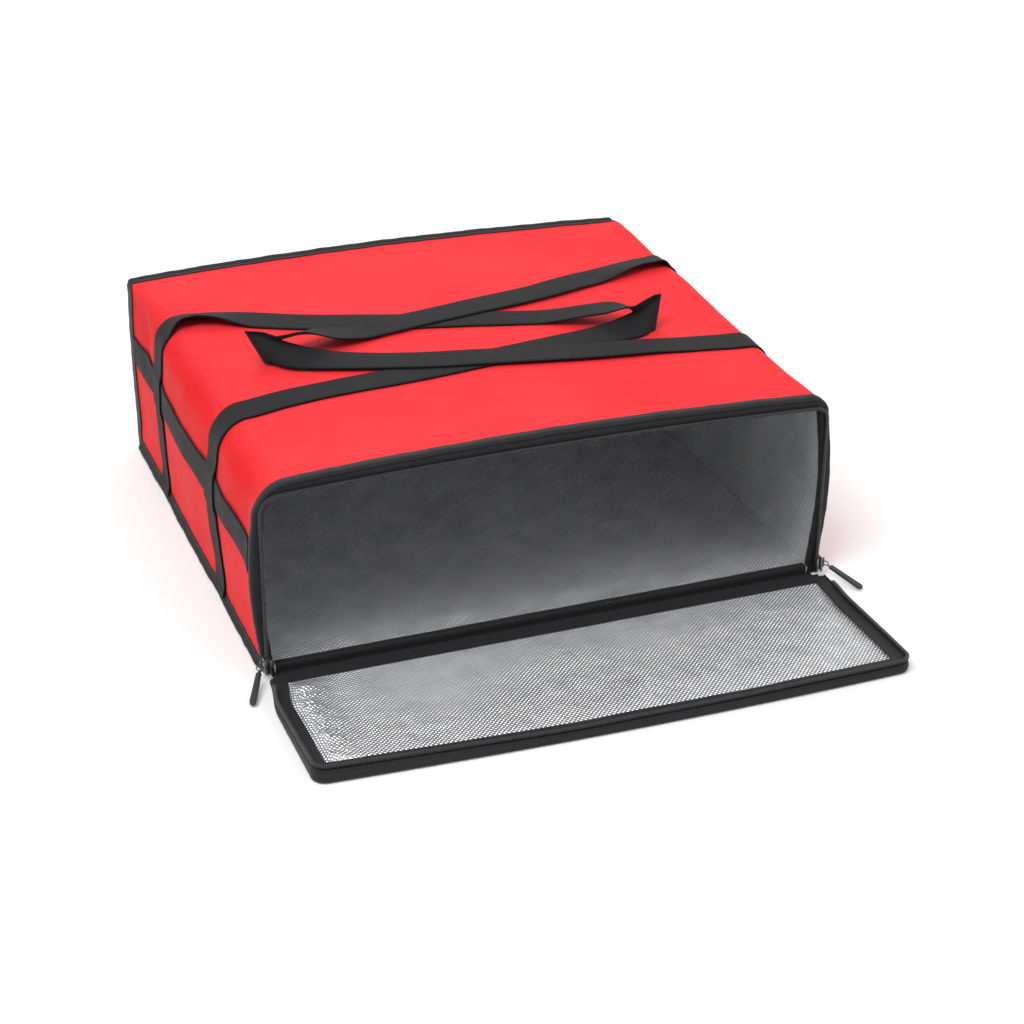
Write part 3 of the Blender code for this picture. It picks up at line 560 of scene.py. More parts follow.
def runOf(u):
    # Metres along the wrap from the middle of the top, left side below nought
    t = nearFoot(u)
    if t < 1:
        run = topRun / 2 + arcRun + (1 - t) * wallRun
    elif t < 2:
        run = topRun / 2 + (2 - t) * arcRun
    else:
        run = (wrapEnd / 2 - t) * topRun
    return -run if u < wrapEnd / 2 else run


def archSpot(u, half, top, radius):
    # (x, z) on a plain arch with round corners
    side = -1 if u < wrapEnd / 2 else 1
    t = nearFoot(u)
    if t <= 1:
        return side * half, t * (top - radius)
    if t <= 2:
        turn = (t - 1) * math.pi / 2
        return side * (half - radius + radius * math.cos(turn)), top - radius + radius * math.sin(turn)
    return side * (half - radius) * (wrapEnd - 2 * t), top


def roundedTop(x, z, half, top, radius):
    # Brings a point of a flat sheet down onto the round of its corner
    over = abs(x) - (half - radius)
    if over <= 0 or z <= top - radius:
        return z
    drop = radius - math.sqrt(max(radius ** 2 - over ** 2, 0))
    return z - drop * (z - (top - radius)) / radius


def fullness(depth, atBack):
    return 1 - (1 - atBack) * (depth / bag["depth"]) ** 2


def cornerRadius(depth, side=-1):
    # The right shoulder is squarer than the left one
    share = min(max(depth / (bag["depth"] - bag["seamDepth"]), 0), 1)
    front = bag["frontRadius"] if side < 0 else bag["rightFrontRadius"]
    return front + (bag["backRadius"] - front) * share ** 6


def wallTop(depth, side):
    return bag["height"] - cornerRadius(depth, side)


def swell(x, depth, z):
    rise = math.sin(math.pi * min(max(z, 0), bag["height"]) / bag["height"])
    out = 1 + 2 * bag["sideBulge"] * fullness(depth, bag["backSide"]) / bag["width"] * rise
    crown = bag["topCrown"] * fullness(depth, bag["backTop"])
    up = 1 + crown / bag["height"] * (1 - (2 * x / bag["width"]) ** 2)
    return Vector((x * out, depth - bag["depth"] / 2, z * up))


def puff(u, depth):
    # How far the soft wall stands out from, or in behind, its plain shape
    look, run, t = softness, runOf(u), nearFoot(u)
    label = "left" if u < wrapEnd / 2 else "right"
    foot = min(t, 1) * wallRun
    fade = between(depth, 0, bag["depth"], look["seamFade"]) * smoothStep(foot, 0, look["seamFade"])
    onWall = 1 - smoothStep(t, *look["wallFade"])
    ripple = waver(run / look["rippleSize"], depth / look["rippleSize"], 3.7)
    dimple = waver(run / look["dimpleRun"], depth / look["dimpleDepth"], 9.1)
    out = look["ripple"] * mix(look["topRipple"], 1, onWall) * fade * ripple
    out += look["dimple"] * mix(look["topDimple"], 1, onWall) * fade * dimple

    # The side straps are sewn down as far as the fold line
    sewn = 1 - smoothStep(t, *look["sewnFade"])
    front, rear = strapDepths[label]
    for at in (front, rear):
        out -= look["strapPull"][label] * sewn * bump(depth - at, look["strapReach"])
    belly = bump(depth - (front + rear) / 2, (rear - front) * look["bellyShare"])
    out += look["belly"] * sewn * fade * belly

    nearSeam = bump(depth, look["puckerReach"]) + bump(bag["depth"] - depth, look["puckerReach"])
    out += look["pucker"] * nearSeam * waver(run / look["puckerPitch"], 1.3, 0.2)
    if t < 1:
        low = bump(foot, look["puckerReach"])
        out += look["pucker"] * low * waver(depth / look["puckerPitch"], 5.1, 0.4)

    reach = abs(run)
    if label == "right":
        # The right shoulder stands fuller towards the back
        fill = look["rightFill"]
        along = smoothStep(depth, fill["start"], fill["full"])
        along *= smoothStep(bag["depth"] - depth, 0, fill["end"])
        return out + fill["rise"] * along * bump(reach - look["shoulderRun"], fill["reach"])

    # The left wall is slimmer, and its shoulder is drawn in between the straps and at the back corner
    out -= look["leftSlim"] * onWall * fade
    for low, high, drop in look["shoulderDents"]:
        along = between(depth, low, high, look["dentFade"])
        out -= drop * along * bump(reach - look["shoulderRun"], look["shoulderReach"])
    dent = look["cornerDent"]
    near = bump(reach - dent["run"], dent["runReach"]) * bump(depth - dent["depth"], dent["depthReach"])
    return out - dent["drop"] * near


def wrapAt(u, out, depth):
    # The place that stands out metres off the wrap
    out += puff(u, depth)
    radius = max(cornerRadius(depth, u - wrapEnd / 2) + out, bag["leastRadius"])
    x, z = archSpot(u, bag["width"] / 2 + out, bag["height"] + out, radius)
    return swell(x, depth, max(z, 0))


def uAtHeight(side, z, depth):
    return fromFoot(side, z / wallTop(depth, side))


def uAtX(x, depth):
    flat = bag["width"] / 2 - cornerRadius(depth, x)
    return fromFoot(x, 2 + (1 - min(abs(x) / flat, 1)) / 2)


def topHeight(x, depth):
    return swell(x, depth, bag["height"]).z + puff(uAtX(x, depth), depth)


def stopsAlong(low, high, step):
    # Stations along the wrap at about equal steps, from u = low to u = high
    stops = [low]
    for start, run in enumerate([wallRun, arcRun, topRun, arcRun, wallRun]):
        a, b = max(low, start), min(high, start + 1)
        if b > a:
            count = max(1, round(run * (b - a) / step))
            stops += [a + (b - a) * i / count for i in range(1, count + 1)]
    return stops


def depthStops(start, end, step, fine=0.003, band=0.018):
    # Stations along the depth, closer together beside the two seams
    stops = [start]
    while stops[-1] < end - 1e-9:
        near = min(stops[-1] - start, end - stops[-1])
        stops.append(stops[-1] + (fine if near < band else step))
    stops[-1] = end
    if len(stops) > 2 and stops[-1] - stops[-2] < fine / 2:
        stops.pop(-2)
    return stops


def wrapSheet(name, low, high, end, out, step, extra=None):
    stations, depths = stopsAlong(low, high, step), depthStops(0, end, step)

    def spotAt(row, column):
        u, depth = stations[row], depths[column]
        return wrapAt(u, out + (extra(u, depth) if extra else 0), depth)

    return addGrid(name, len(stations) - 1, len(depths) - 1, spotAt, (abs(runOf(high) - runOf(low)), end))


# Walls
wallLook = dict(
    fabricStep=0.004, foamStep=0.010, foilStep=0.004, crinkle=0.0010, crinkleSize=0.021,
    topStart=1.012, topEnd=3.988,
)
backLook = dict(
    clothStep=0.006, clothBulge=0.0035, clothInset=0.0002, foamStep=0.012, foamBulge=0.0030,
    foilStep=0.005, foilBulge=0.0024, foilInset=0.001, creases=0.0008, creaseSize=0.022,
    unevenShare=0.35, unevenWidth=0.09, unevenHeight=0.07,
)
floorLook = dict(clothStep=0.012, foilStep=0.004, creases=0.0011, creaseSize=0.024)
fabricEnd = bag["depth"] - layers["fabric"] - layers["gap"]
foamEnd = fabricEnd - layers["foam"] - layers["gap"]
foilEnd = foamEnd - layers["foil"] - layers["gap"]
foamOut = -(layers["fabric"] + layers["gap"])
foilOut = foamOut - layers["foam"] - layers["gap"]
floorTop = layers["fabric"] + layers["gap"]
linerLow = floorTop + layers["foam"] + layers["gap"]
footShare = layers["gap"] / wallRun


def crinkle(u, depth):
    # Creases of the film, always to its free side
    size = wallLook["crinkleSize"]
    return -wallLook["crinkle"] * crease(runOf(u) / size, depth / size, 2.2)


def makeWalls():
    fabric = wrapSheet("red_wrap", footShare, wrapEnd - footShare, fabricEnd, 0, wallLook["fabricStep"])
    thicken(fabric, layers["fabric"])
    finishPiece(fabric, wrapCloth, "bag_body", "red_fabric", "outer_shell")

    low, boards = floorTop / wallRun, []
    for label, start, end in (("left", low, 1), ("top", wallLook["topStart"], wallLook["topEnd"]),
                              ("right", wrapEnd - 1, wrapEnd - low)):
        board = wrapSheet(label + "_foam", start, end, foamEnd, foamOut, wallLook["foamStep"])
        finishFoam(board, layers["foam"], "bag_body", label + "_foam_board")
        boards.append(board)

    low = linerLow / wallRun
    foil = wrapSheet("foil_wrap", low, wrapEnd - low, foilEnd, foilOut, wallLook["foilStep"], crinkle)
    finishSheet(foil, layers["foil"], silverFoil, "bag_body", "silver_foil", "foil_lining",
                flat=(bag["depth"], wrapRun), held="stretched", rests_on=boards)


def plateShape(name, inset, low, depth, step, bulge):
    # A panel across the bag: its outline is the wrap at that depth, and it bellies out to the back
    columns, rows = round(bag["width"] / step), round(bag["height"] / step)
    half, top = bag["width"] / 2 - inset, bag["height"] - inset
    radius = max(cornerRadius(depth) - inset, bag["leastRadius"])

    def spotAt(row, column):
        across, up = 1 - 2 * row / columns, column / rows
        x = across * half
        z = roundedTop(x, low + (top - low) * up, half, top, radius)
        belly = bulge * (1 - across ** 4) * (1 - (2 * up - 1) ** 4)
        uneven = waver(x / backLook["unevenWidth"], z / backLook["unevenHeight"], 4.4)
        belly += backLook["unevenShare"] * bulge * uneven * (1 - across ** 6) * (1 - (2 * up - 1) ** 6)
        spot = swell(x, depth, z)
        spot.y += belly
        return spot

    return addGrid(name, columns, rows, spotAt, (bag["width"], bag["height"]))


def addCreases(obj, amount, size, direction):
    for vert in obj.data.vertices:
        vert.co += Vector(direction) * (amount * crease(*(vert.co / size)))


def makePlates():
    look, flat = backLook, (bag["width"], bag["height"])
    back = plateShape("back_cloth", look["clothInset"], layers["gap"], bag["depth"], look["clothStep"],
                      look["clothBulge"])
    finishSheet(back, layers["fabric"], redCloth, "bag_body", "red_fabric", "back_panel",
                flat=flat, held="stretched", rests_on=["back_foam"])

    board = plateShape("back_foam", -foamOut, floorTop, fabricEnd - layers["gap"], look["foamStep"],
                       look["foamBulge"])
    finishFoam(board, layers["foam"], "bag_body", "back_foam_board")

    foil = plateShape("back_foil", -foamOut + look["foilInset"], linerLow, foamEnd, look["foilStep"],
                      look["foilBulge"])
    addCreases(foil, look["creases"], look["creaseSize"], (0, -1, 0))
    finishSheet(foil, layers["foil"], silverFoil, "bag_body", "silver_foil", "back_foil_lining",
                flat=flat, held="stretched", rests_on=["back_foam"])


def floorSheet(name, half, end, z, step):
    columns, rows = round(2 * half / step), round(end / step)
    return addGrid(name, columns, rows, lambda row, column: Vector((
        (2 * row / columns - 1) * half, end * column / rows - bag["depth"] / 2, z)), (2 * half, end))


def makeFloor():
    look, half = floorLook, bag["width"] / 2 + foamOut
    cloth = floorSheet("bottom_cloth", half, fabricEnd, layers["fabric"], look["clothStep"])
    finishSheet(cloth, layers["fabric"], redUnderside, "bag_body", "red_fabric", "bottom_panel",
                flat=(2 * half, bag["depth"]), held="stretched", rests_on=["bottom_foam"])

    half = bag["width"] / 2 + foilOut
    board = floorSheet("bottom_foam", half, foamEnd, floorTop + layers["foam"], look["clothStep"])
    finishFoam(board, layers["foam"], "bag_body", "bottom_foam_board")

    half -= layers["foil"] + layers["gap"]
    foil = floorSheet("floor_foil", half, foilEnd, linerLow + layers["foil"], look["foilStep"])
    addCreases(foil, look["creases"], look["creaseSize"], (0, 0, 1))
    finishSheet(foil, layers["foil"], silverFoil, "bag_body", "silver_foil", "bottom_foil_lining",
                flat=(2 * half, bag["depth"]), held="laid", rests_on=["bottom_foam"])


makeWalls()
makePlates()
makeFloor()
print("walls, back and floor made")


# Bindings over the seams
rim = dict(
    leg=0.0066, inner=0.006, front=0.0011, skin=0.0011, wave=0.0005, thickness=0.0008, bevel=0.0002,
    backLeg=0.008, backSideLeg=0.006, backRidge=0.0020, backTurn=0.001, step=0.004, waveLength=0.045,
)
footBead = dict(
    centre=(0.0026, 0.0028), radius=0.0024, turns=(-60, -30, 0, 30, 60, 85), top=0.0095,
    waist=(0.0016, 0.0062), start=0.0063, end=0.0083, taper=0.008, step=0.005,
    uneven=0.05, unevenSize=0.03, girth=0.028,
)
backFoot = dict(rows=120, columns=4, belly=0.0002, wave=0.0003)
wallThickness = layers["fabric"] + layers["foam"] + layers["foil"] + 2 * layers["gap"]


def edgeWave(run, seed, amount):
    return amount * waver(run / rim["waveLength"], seed, 0.7)


def profileSheet(name, stations, profile, spotAt, length):
    # Carries a profile along the stations
    width = sum(math.hypot(b[0] - a[0], b[1] - a[1]) for a, b in zip(profile, profile[1:]))
    return addGrid(name, len(stations) - 1, len(profile) - 1,
                   lambda row, column: spotAt(stations[row], *profile[column]), (length, width))


def finishBinding(obj, node, body="bag_body"):
    thicken(obj, rim["thickness"], rim["bevel"])
    finishPiece(obj, blackBinding, body, "black_binding", node)


def makeRimBinding():
    # Each point of the profile is its way out of the wrap and its depth
    skin, leg, front, end = rim["skin"], rim["leg"], -rim["front"], rim["inner"]
    inner = -(wallThickness + layers["gap"] + rim["thickness"])
    profile = [
        (skin, leg), (skin * 1.05, leg * 0.55), (skin * 1.1, 0.0014), (skin * 0.75, 0.0001),
        (skin * 0.1, front * 0.75), (-0.0012, front * 1.05), (inner / 2, front * 1.12),
        (inner + 0.0016, front * 1.05), (inner + 0.0005, front * 0.6), (inner, 0.0004), (inner, end * 0.5),
        (inner + 0.0002, end),
    ]

    def spotAt(u, out, depth):
        if depth == leg:
            depth += edgeWave(runOf(u), 1.0, rim["wave"])
        return wrapAt(u, out, depth)

    stations = stopsAlong(footShare, wrapEnd - footShare, rim["step"])
    obj = profileSheet("rim_binding", stations, profile, spotAt, wrapRun)
    finishBinding(turnOver(obj), "mouth_rim_binding")


def backLeg(u):
    # The back binding reaches further onto the side walls than onto the top
    return rim["backLeg"] + rim["backSideLeg"] * (1 - smoothStep(nearFoot(u), 1.0, 2.0))


def makeBackBinding():
    skin, leg, ridge, edge = rim["skin"], rim["backLeg"], rim["backRidge"], bag["depth"]
    back = edge + layers["gap"] + rim["thickness"]
    profile = [
        (skin, edge - leg), (skin, edge - leg * 0.55), (skin + ridge * 0.6, back - 0.0040),
        (skin + ridge, back - 0.0022), (skin + ridge * 0.95, back - 0.0008), (skin + ridge * 0.5, back),
        (skin * 0.3, back + 0.0002), (-0.0006, back + 0.0001), (-leg * 0.5, back), (-leg, back - 0.0001),
    ]

    def spotAt(u, out, depth):
        if out == skin:
            depth -= (backLeg(u) - leg) * (edge - depth) / leg
            depth += edgeWave(runOf(u), 2.0, rim["wave"])
        if out > skin:
            # The ridge stands up on the top alone
            flat = skin * 0.7 if back - depth < rim["backTurn"] else skin
            out = mix(flat, out, smoothStep(nearFoot(u), 1.0, 2.2))
        return wrapAt(u, out, depth)

    stations = stopsAlong(footShare, wrapEnd - footShare, rim["step"])
    finishBinding(profileSheet("back_binding", stations, profile, spotAt, wrapRun), "back_edge_binding")

    half, rows, columns = bag["width"] / 2 - leg - layers["gap"], backFoot["rows"], backFoot["columns"]

    def footSpot(row, column):
        high = leg + edgeWave(row * rim["step"], 3.0, backFoot["wave"])
        y = back - edge / 2 + backFoot["belly"] * math.sin(math.pi * column / columns)
        return Vector(((1 - 2 * row / rows) * half, y, mix(layers["gap"], high, column / columns)))

    strip = addGrid("back_foot_binding", rows, columns, footSpot, (2 * half, leg))
    finishBinding(strip, "back_bottom_binding")


def makeFootBindings():
    # The bound seam along each side wall's foot: a flat band on the wall over a soft round bead
    look, skin, gap = footBead, rim["skin"], layers["gap"]
    (out, up), radius, top = look["centre"], look["radius"], look["top"]
    loop = [(gap, gap), (0.0030, gap)]
    for a in map(math.radians, look["turns"]):
        loop.append((out + radius * math.cos(a), up + radius * math.sin(a)))
    loop += [look["waist"], (skin, 0.0074), (skin, top - 0.0002), (skin * 0.8, top)]
    loop += [(gap, top), (gap, 0.0050)]
    start, end = look["start"], bag["depth"] - look["end"]
    depths = depthStops(start, end, look["step"])
    for side, label in sides:

        def spotAt(row, column):
            depth = depths[row]
            out, z = loop[column % len(loop)]
            if out > skin:
                uneven = 1 + look["uneven"] * waver(depth / look["unevenSize"], 7.0, side)
                out = mix(skin, out * uneven, between(depth, start, end, look["taper"]))
            return wrapAt(uAtHeight(side, z, depth), out, depth)

        size = end - start, look["girth"]
        obj = addGrid(label + "_foot_binding", len(depths) - 1, len(loop), spotAt, size)
        finishPiece(closeTube(obj), blackBinding, "bag_body", "black_binding", label + "_bottom_binding")


def makeSillBinding():
    half = bag["width"] / 2 - wallThickness - 2 * layers["gap"] - rim["thickness"]
    top = floorTop + layers["foam"] + layers["foil"] + 3 * layers["gap"] + rim["thickness"]
    front = -rim["front"]
    profile = [
        (0.006, top - 0.0001), (0.003, top), (0.0004, top - 0.0001), (-0.0007, top - 0.0007),
        (front, top - 0.0022), (front, 0.004), (front, layers["gap"]),
    ]

    def spotAt(share, depth, z):
        return Vector(((2 * share - 1) * half, depth - bag["depth"] / 2, z))

    obj = profileSheet("sill_binding", sharesOf(backFoot["rows"]), profile, spotAt, 2 * half)
    finishBinding(turnOver(obj), "mouth_sill_binding")


makeRimBinding()
makeBackBinding()
makeFootBindings()
makeSillBinding()
print("bindings made")


# Webbing: belts round the sides and one loop for each handle, sewn up both side straps
belt = dict(
    height=0.1070, width=0.0270, step=0.004, columns=6, start=0.0063, clear=0.024, endFade=0.03,
    slack=0.0006, slackSize=(0.05, 0.02), narrow=0.02, narrowSize=0.03, wave=0.0012,
)
beltEnd = bag["depth"] - rim["backLeg"] - rim["backSideLeg"] - layers["gap"]
strapLook = dict(
    foot=0.0062, flare=0.0022, flareTop=0.016, wallRows=44, arcRows=12, topRows=2,
    uneven=0.012, unevenSize=0.03,
)
handleLook = dict(
    hingeInset=0.032, foldRun=0.022, legSteps=14, turnSteps=14, columns=6, straightEnd=0.02,
    turnLean=math.radians(82), frontDecay=0.019, tipDecay=0.040,
    tipReach=dict(left=0.52, right=0.62), tipBack=dict(left=0.45, right=0.42), tuck=0.12,
    rearTurn=0.022, rearLean=math.radians(28), rearFlat=dict(left=(0.010, 0.045), right=(0.022, 0.070)),
    rearHeight=0.0165, rearDown=(0.018, 0.110),
    rootRise=dict(left=0.010, right=0.007), rootStart=dict(left=1.5, right=1.6), rootFlat=(0.015, 0.065),
)
foldX = bag["width"] / 2 - handleLook["hingeInset"]
# Shares of the bag's width and depth, from the fold line to the turn; the width's count from the middle
# towards the far side
legShares = dict(
    left=(((-0.32, 0.314), (-0.16, 0.321), (0.00, 0.337), (0.12, 0.356), (0.22, 0.368), (0.325, 0.376)),
          ((-0.34, 0.690), (-0.22, 0.620), (-0.08, 0.560), (0.06, 0.520), (0.20, 0.474), (0.325, 0.392))),
    right=(((-0.32, 0.289), (-0.20, 0.299), (-0.08, 0.320), (0.06, 0.350), (0.20, 0.398), (0.352, 0.468)),
           ((-0.32, 0.664), (-0.18, 0.610), (-0.04, 0.576), (0.10, 0.548), (0.24, 0.514), (0.352, 0.484))),
)


def beltSpot(side, label, depth, share):
    narrow = 1 - belt["narrow"] * waver(depth / belt["narrowSize"], 2, side)
    z = belt["height"] + share * belt["width"] * narrow + edgeWave(depth, 11.0 + side, belt["wave"])
    crossed = max(bump(depth - at, belt["clear"]) for at in strapDepths[label])
    ends = between(depth, belt["start"], beltEnd, belt["endFade"])
    along, up = belt["slackSize"]
    cup = belt["slack"] * ends * (1 - crossed) * (0.5 + waver(depth / along, z / up, side))
    return wrapAt(uAtHeight(side, z, depth), webbing["gap"] + webbing["thickness"] + max(cup, 0), depth)


def makeBelts():
    depths = depthStops(belt["start"], beltEnd, belt["step"])
    for side, label in sides:

        def spotAt(row, column):
            return beltSpot(side, label, depths[row], column / belt["columns"] - 0.5)

        size = beltEnd - belt["start"], webbing["width"]
        obj = addGrid(label + "_belt", len(depths) - 1, belt["columns"], spotAt, size)
        if side < 0:
            turnOver(obj)
        thicken(obj, webbing["thickness"], webbing["bevel"], 2)
        finishPiece(obj, blackWebbing, "bag_body", "black_webbing", label + "_side_belt")


def curveThrough(points, steps):
    out = []
    for i in range(len(points) - 1):
        before = points[i - 1] if i else points[i] * 2 - points[i + 1]
        after = points[i + 2] if i + 2 < len(points) else points[i + 1] * 2 - points[i]
        a, b = points[i], points[i + 1]
        for k in range(steps):
            t = k / steps
            out.append(0.5 * (2 * a + (b - before) * t + (2 * before - 5 * a + 4 * b - after) * t * t
                              + (3 * a - before - 3 * b + after) * t * t * t))
    out.append(points[-1])
    return out


def strapSkin(z):
    # How far a side strap's face stands out from the wall at height z: it steps over the belt
    low, high = belt["height"] - belt["width"] / 2, belt["height"] + belt["width"] / 2
    over = smoothStep(z, low - webbing["ramp"], low) * (1 - smoothStep(z, high, high + webbing["ramp"]))
    flare = strapLook["flare"] * (1 - smoothStep(z, strapLook["foot"], strapLook["flareTop"]))
    step = webbing["thickness"] + webbing["crossing"]
    return webbing["gap"] + webbing["thickness"] + over * step + flare


def strapRings(side, label, depth, rear):
    # Rings of points up a side wall to the fold line, where a rear strap's front edge stands up
    low, top = strapLook["foot"], wallTop(depth, side)
    wallRows, arcRows, topRows = strapLook["wallRows"], strapLook["arcRows"], strapLook["topRows"]
    heights = [low + (top - low) * i / wallRows for i in range(wallRows + 1)]
    foldT = nearFoot(uAtX(side * foldX, depth))
    stations = [z / top for z in heights]
    stations += [1 + i / arcRows for i in range(1, arcRows + 1)]
    stations += [2 + (foldT - 2) * i / topRows for i in range(1, topRows + 1)]
    heights += [bag["height"]] * (arcRows + topRows)
    rise, start = handleLook["rootRise"][label] * rear, handleLook["rootStart"][label]
    rings = []
    for t, z in zip(stations, heights):
        ring = []
        for column in range(handleLook["columns"] + 1):
            share = column / handleLook["columns"] - 0.5
            share = -share if rear else share
            uneven = 1 + strapLook["uneven"] * waver(z / strapLook["unevenSize"], depth * 9, side)
            across = share * webbing["width"] * uneven
            out = strapSkin(z) + rise * smoothStep(t, start, 2) * (0.5 - share)
            ring.append(wrapAt(fromFoot(side, t), out, depth + across))
        rings.append(ring)
    return rings


def loopPath(label):
    # The middle of the band on the top: out along the front leg, round the turn, back along the rear leg
    legs = []
    for depth, shares in zip(strapDepths[label], legShares[label]):
        points = [Vector((-foldX, depth))]
        points += [Vector((x * bag["width"], y * bag["depth"])) for x, y in shares]
        legs.append(curveThrough(points, handleLook["legSteps"]))
    front, rear = legs
    pivot, radius = (front[-1] + rear[-1]) / 2, (front[-1] - rear[-1]).length / 2
    count = handleLook["turnSteps"]
    angles = [-math.pi / 2 + math.pi * i / count for i in range(1, count)]
    turn = [pivot + radius * Vector((math.cos(a), math.sin(a))) for a in angles]
    return front + turn + rear[::-1], len(front) - 1, len(front) + len(turn)


def bandStance(label, gone, toGo, turnStart, turnMiddle):
    # How the band leans, how high it stands, how far it tips along and how narrow it looks, gone metres on
    look, past = handleLook, gone - turnMiddle
    if past <= 0:
        away = max(turnStart - gone, 0)
        lean = look["turnLean"] * math.exp(-away / look["frontDecay"])
        return lean, 0, math.exp(-away / look["tipDecay"]), 1
    # The rear leg turns over at once, goes on through the air at a slant and comes down further on
    share = smoothStep(past / look["rearTurn"])
    slant = look["rearLean"] * (1 - smoothStep(past, *look["rearFlat"][label]))
    rootLean = math.asin(look["rootRise"][label] / webbing["width"])
    slant += rootLean * (1 - smoothStep(toGo, *look["rootFlat"]))
    height = share * look["rearHeight"] * (1 - smoothStep(past, *look["rearDown"]))
    narrow = 1 - look["tuck"] * bump(past - look["rearTurn"] / 2, look["rearTurn"] / 2)
    return mix(look["turnLean"], slant, share), height, 1 - share, narrow


def handleRings(label, direction, over):
    # Rings of points along the band over the top; the right one lies over metres higher, across the left one
    look, half = handleLook, webbing["width"] / 2
    path, first, last = loopPath(label)
    travel = runsAlong(path)
    turnMiddle = (travel[first] + travel[last]) / 2
    rings = []
    for i, spot in enumerate(path):
        gone, toGo = travel[i], travel[-1] - travel[i]
        ahead = (path[min(i + 1, len(path) - 1)] - path[max(i - 1, 0)]).normalized()
        straight = Vector((1 if i < len(path) / 2 else -1, 0))
        free = smoothStep(min(gone, toGo), 0, look["straightEnd"])
        ahead = (straight * (1 - free) + ahead * free).normalized()
        outward = Vector((ahead.y, -ahead.x))
        lean, height, tip, narrow = bandStance(label, gone, toGo, travel[first], turnMiddle)
        level = Vector((*(-outward * math.cos(lean)), math.sin(lean)))
        across = level + tip * Vector((look["tipReach"][label], look["tipBack"][label] * math.sin(lean), 0))
        across.normalize()
        middle = spot + (across - level).to_2d() * half
        height = max(height, half * narrow * across.z)
        face = Vector((*(outward * math.sin(lean)), math.cos(lean)))
        crossing = smoothStep((spot.x + foldX - webbing["width"]) / (2 * webbing["width"]))
        lift = webbing["gap"] + over * crossing
        ring = []
        for column in range(look["columns"] + 1):
            along = webbing["width"] * (column / look["columns"] - 0.5) * narrow
            x, depth = middle.x + across.x * along, middle.y + across.y * along
            z = height + across.z * along + topHeight(direction * x, depth) + lift
            place = Vector((x, depth - bag["depth"] / 2, z)) + face * webbing["thickness"]
            ring.append(Vector((direction * place.x, place.y, place.z)))
        rings.append(ring)
    return rings


def makeLoops():
    for side, label in sides:
        front, rear = strapDepths[label]
        over = 0 if side < 0 else webbing["thickness"] + webbing["crossing"]
        up, down = strapRings(side, label, front, False), strapRings(side, label, rear, True)[::-1]
        rings = up[:-1] + handleRings(label, -side, over) + down[1:]
        length = runsAlong([ring[handleLook["columns"] // 2] for ring in rings])[-1]
        obj = addGrid(label + "_webbing_loop", len(rings) - 1, handleLook["columns"],
                      lambda row, column: rings[row][column], (length, webbing["width"]))
        if side > 0:
            turnOver(obj)
        thicken(obj, webbing["thickness"], webbing["bevel"], 2)
        dress(obj, blackWebbing)
        height = topHeight(side * foldX, front) + webbing["gap"]
        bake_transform(obj)
        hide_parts(label + "_front_side_strap", label + "_rear_side_strap", label + "_handle")
        print(label, "webbing loop", round(length, 3), "m")


makeBelts()
makeLoops()
print("webbing made")


# Stitching: one row on every binding and on both edges of what is sewn down, crosses where webbing is boxed
stitch = dict(
    size=(0.0023, 0.00055, 0.00045), bevel=0.00016, pitch=0.0036, inset=0.0017, webInset=0.0026,
    sunk=0.00005, probe=0.001, box=0.0095, rise=0.0035, strapLow=0.010, rowCount=60, boxCount=10, step=0.004,
    footHeight=0.0082, footStart=0.008, footEnd=0.010, footCount=100, beltStart=0.0075, strapGap=0.001,
)


def rowSpots(points, outAt):
    # Stitches at an even pitch along a row of points; outAt gives the way out of the surface at each point
    spots = []
    for index, place, ahead in evenSpots(points, stitch["pitch"], stitch["pitch"] / 2):
        out = outAt(index)
        out = (out - ahead * out.dot(ahead)).normalized()
        spots.append((place - out * stitch["sunk"], ahead, out.cross(ahead), out))
    return spots


def wrapRow(places, out):
    # A row on the wrap: places are (u, depth)
    points = [wrapAt(u, out, depth) for u, depth in places]
    above = [wrapAt(u, out + stitch["probe"], depth) for u, depth in places]
    return rowSpots(points, lambda index: above[index] - points[index])


def sideRow(points, side):
    return rowSpots(points, lambda index: Vector((side, 0, 0)))


def sew(name, spots, body="bag_body", slot="black_binding"):
    unit = roundedBlock(stitch["size"], stitch["bevel"])
    finishPiece(repeatAlong(name, unit, spots), blackThread, body, slot)


def sewStraps():
    spots = []
    half = webbing["width"] / 2 - stitch["webInset"]
    boxLow, boxHigh = belt["height"] - stitch["box"], belt["height"] + stitch["box"]
    long, short = sharesOf(stitch["rowCount"]), sharesOf(stitch["boxCount"])
    for side, label in sides:
        for depth in strapDepths[label]:
            top = wallTop(depth, side)
            rows = [[(at, mix(stitch["strapLow"], top, share)) for share in long]
                    for at in (depth - half, depth + half)]
            rows += [[(depth + way * half * (2 * share - 1), mix(boxLow, boxHigh, share)) for share in short]
                     for way in (-1, 1)]
            rows += [[(depth + half * (2 * share - 1), z) for share in short] for z in (boxLow, boxHigh)]
            for row in rows:
                points = [wrapAt(uAtHeight(side, z, at), strapSkin(z), at) for at, z in row]
                spots += sideRow(points, side)
    sew("strap_stitches", spots, slot="black_webbing")


def sewBindings():
    edge, skin, low = bag["depth"], rim["skin"], stitch["rise"] / wallRun
    stations = stopsAlong(low, wrapEnd - low, stitch["step"])
    sew("rim_stitches", wrapRow([(u, rim["leg"] - stitch["inset"]) for u in stations], skin * 1.04))
    sew("back_stitches", wrapRow([(u, edge - backLeg(u) + stitch["inset"]) for u in stations], skin))
    spots, start, end = [], stitch["footStart"], edge - stitch["footEnd"]
    depths = [mix(start, end, share) for share in sharesOf(stitch["footCount"])]
    for side, label in sides:
        spots += wrapRow([(uAtHeight(side, stitch["footHeight"], depth), depth) for depth in depths], skin)
    sew("foot_stitches", spots)


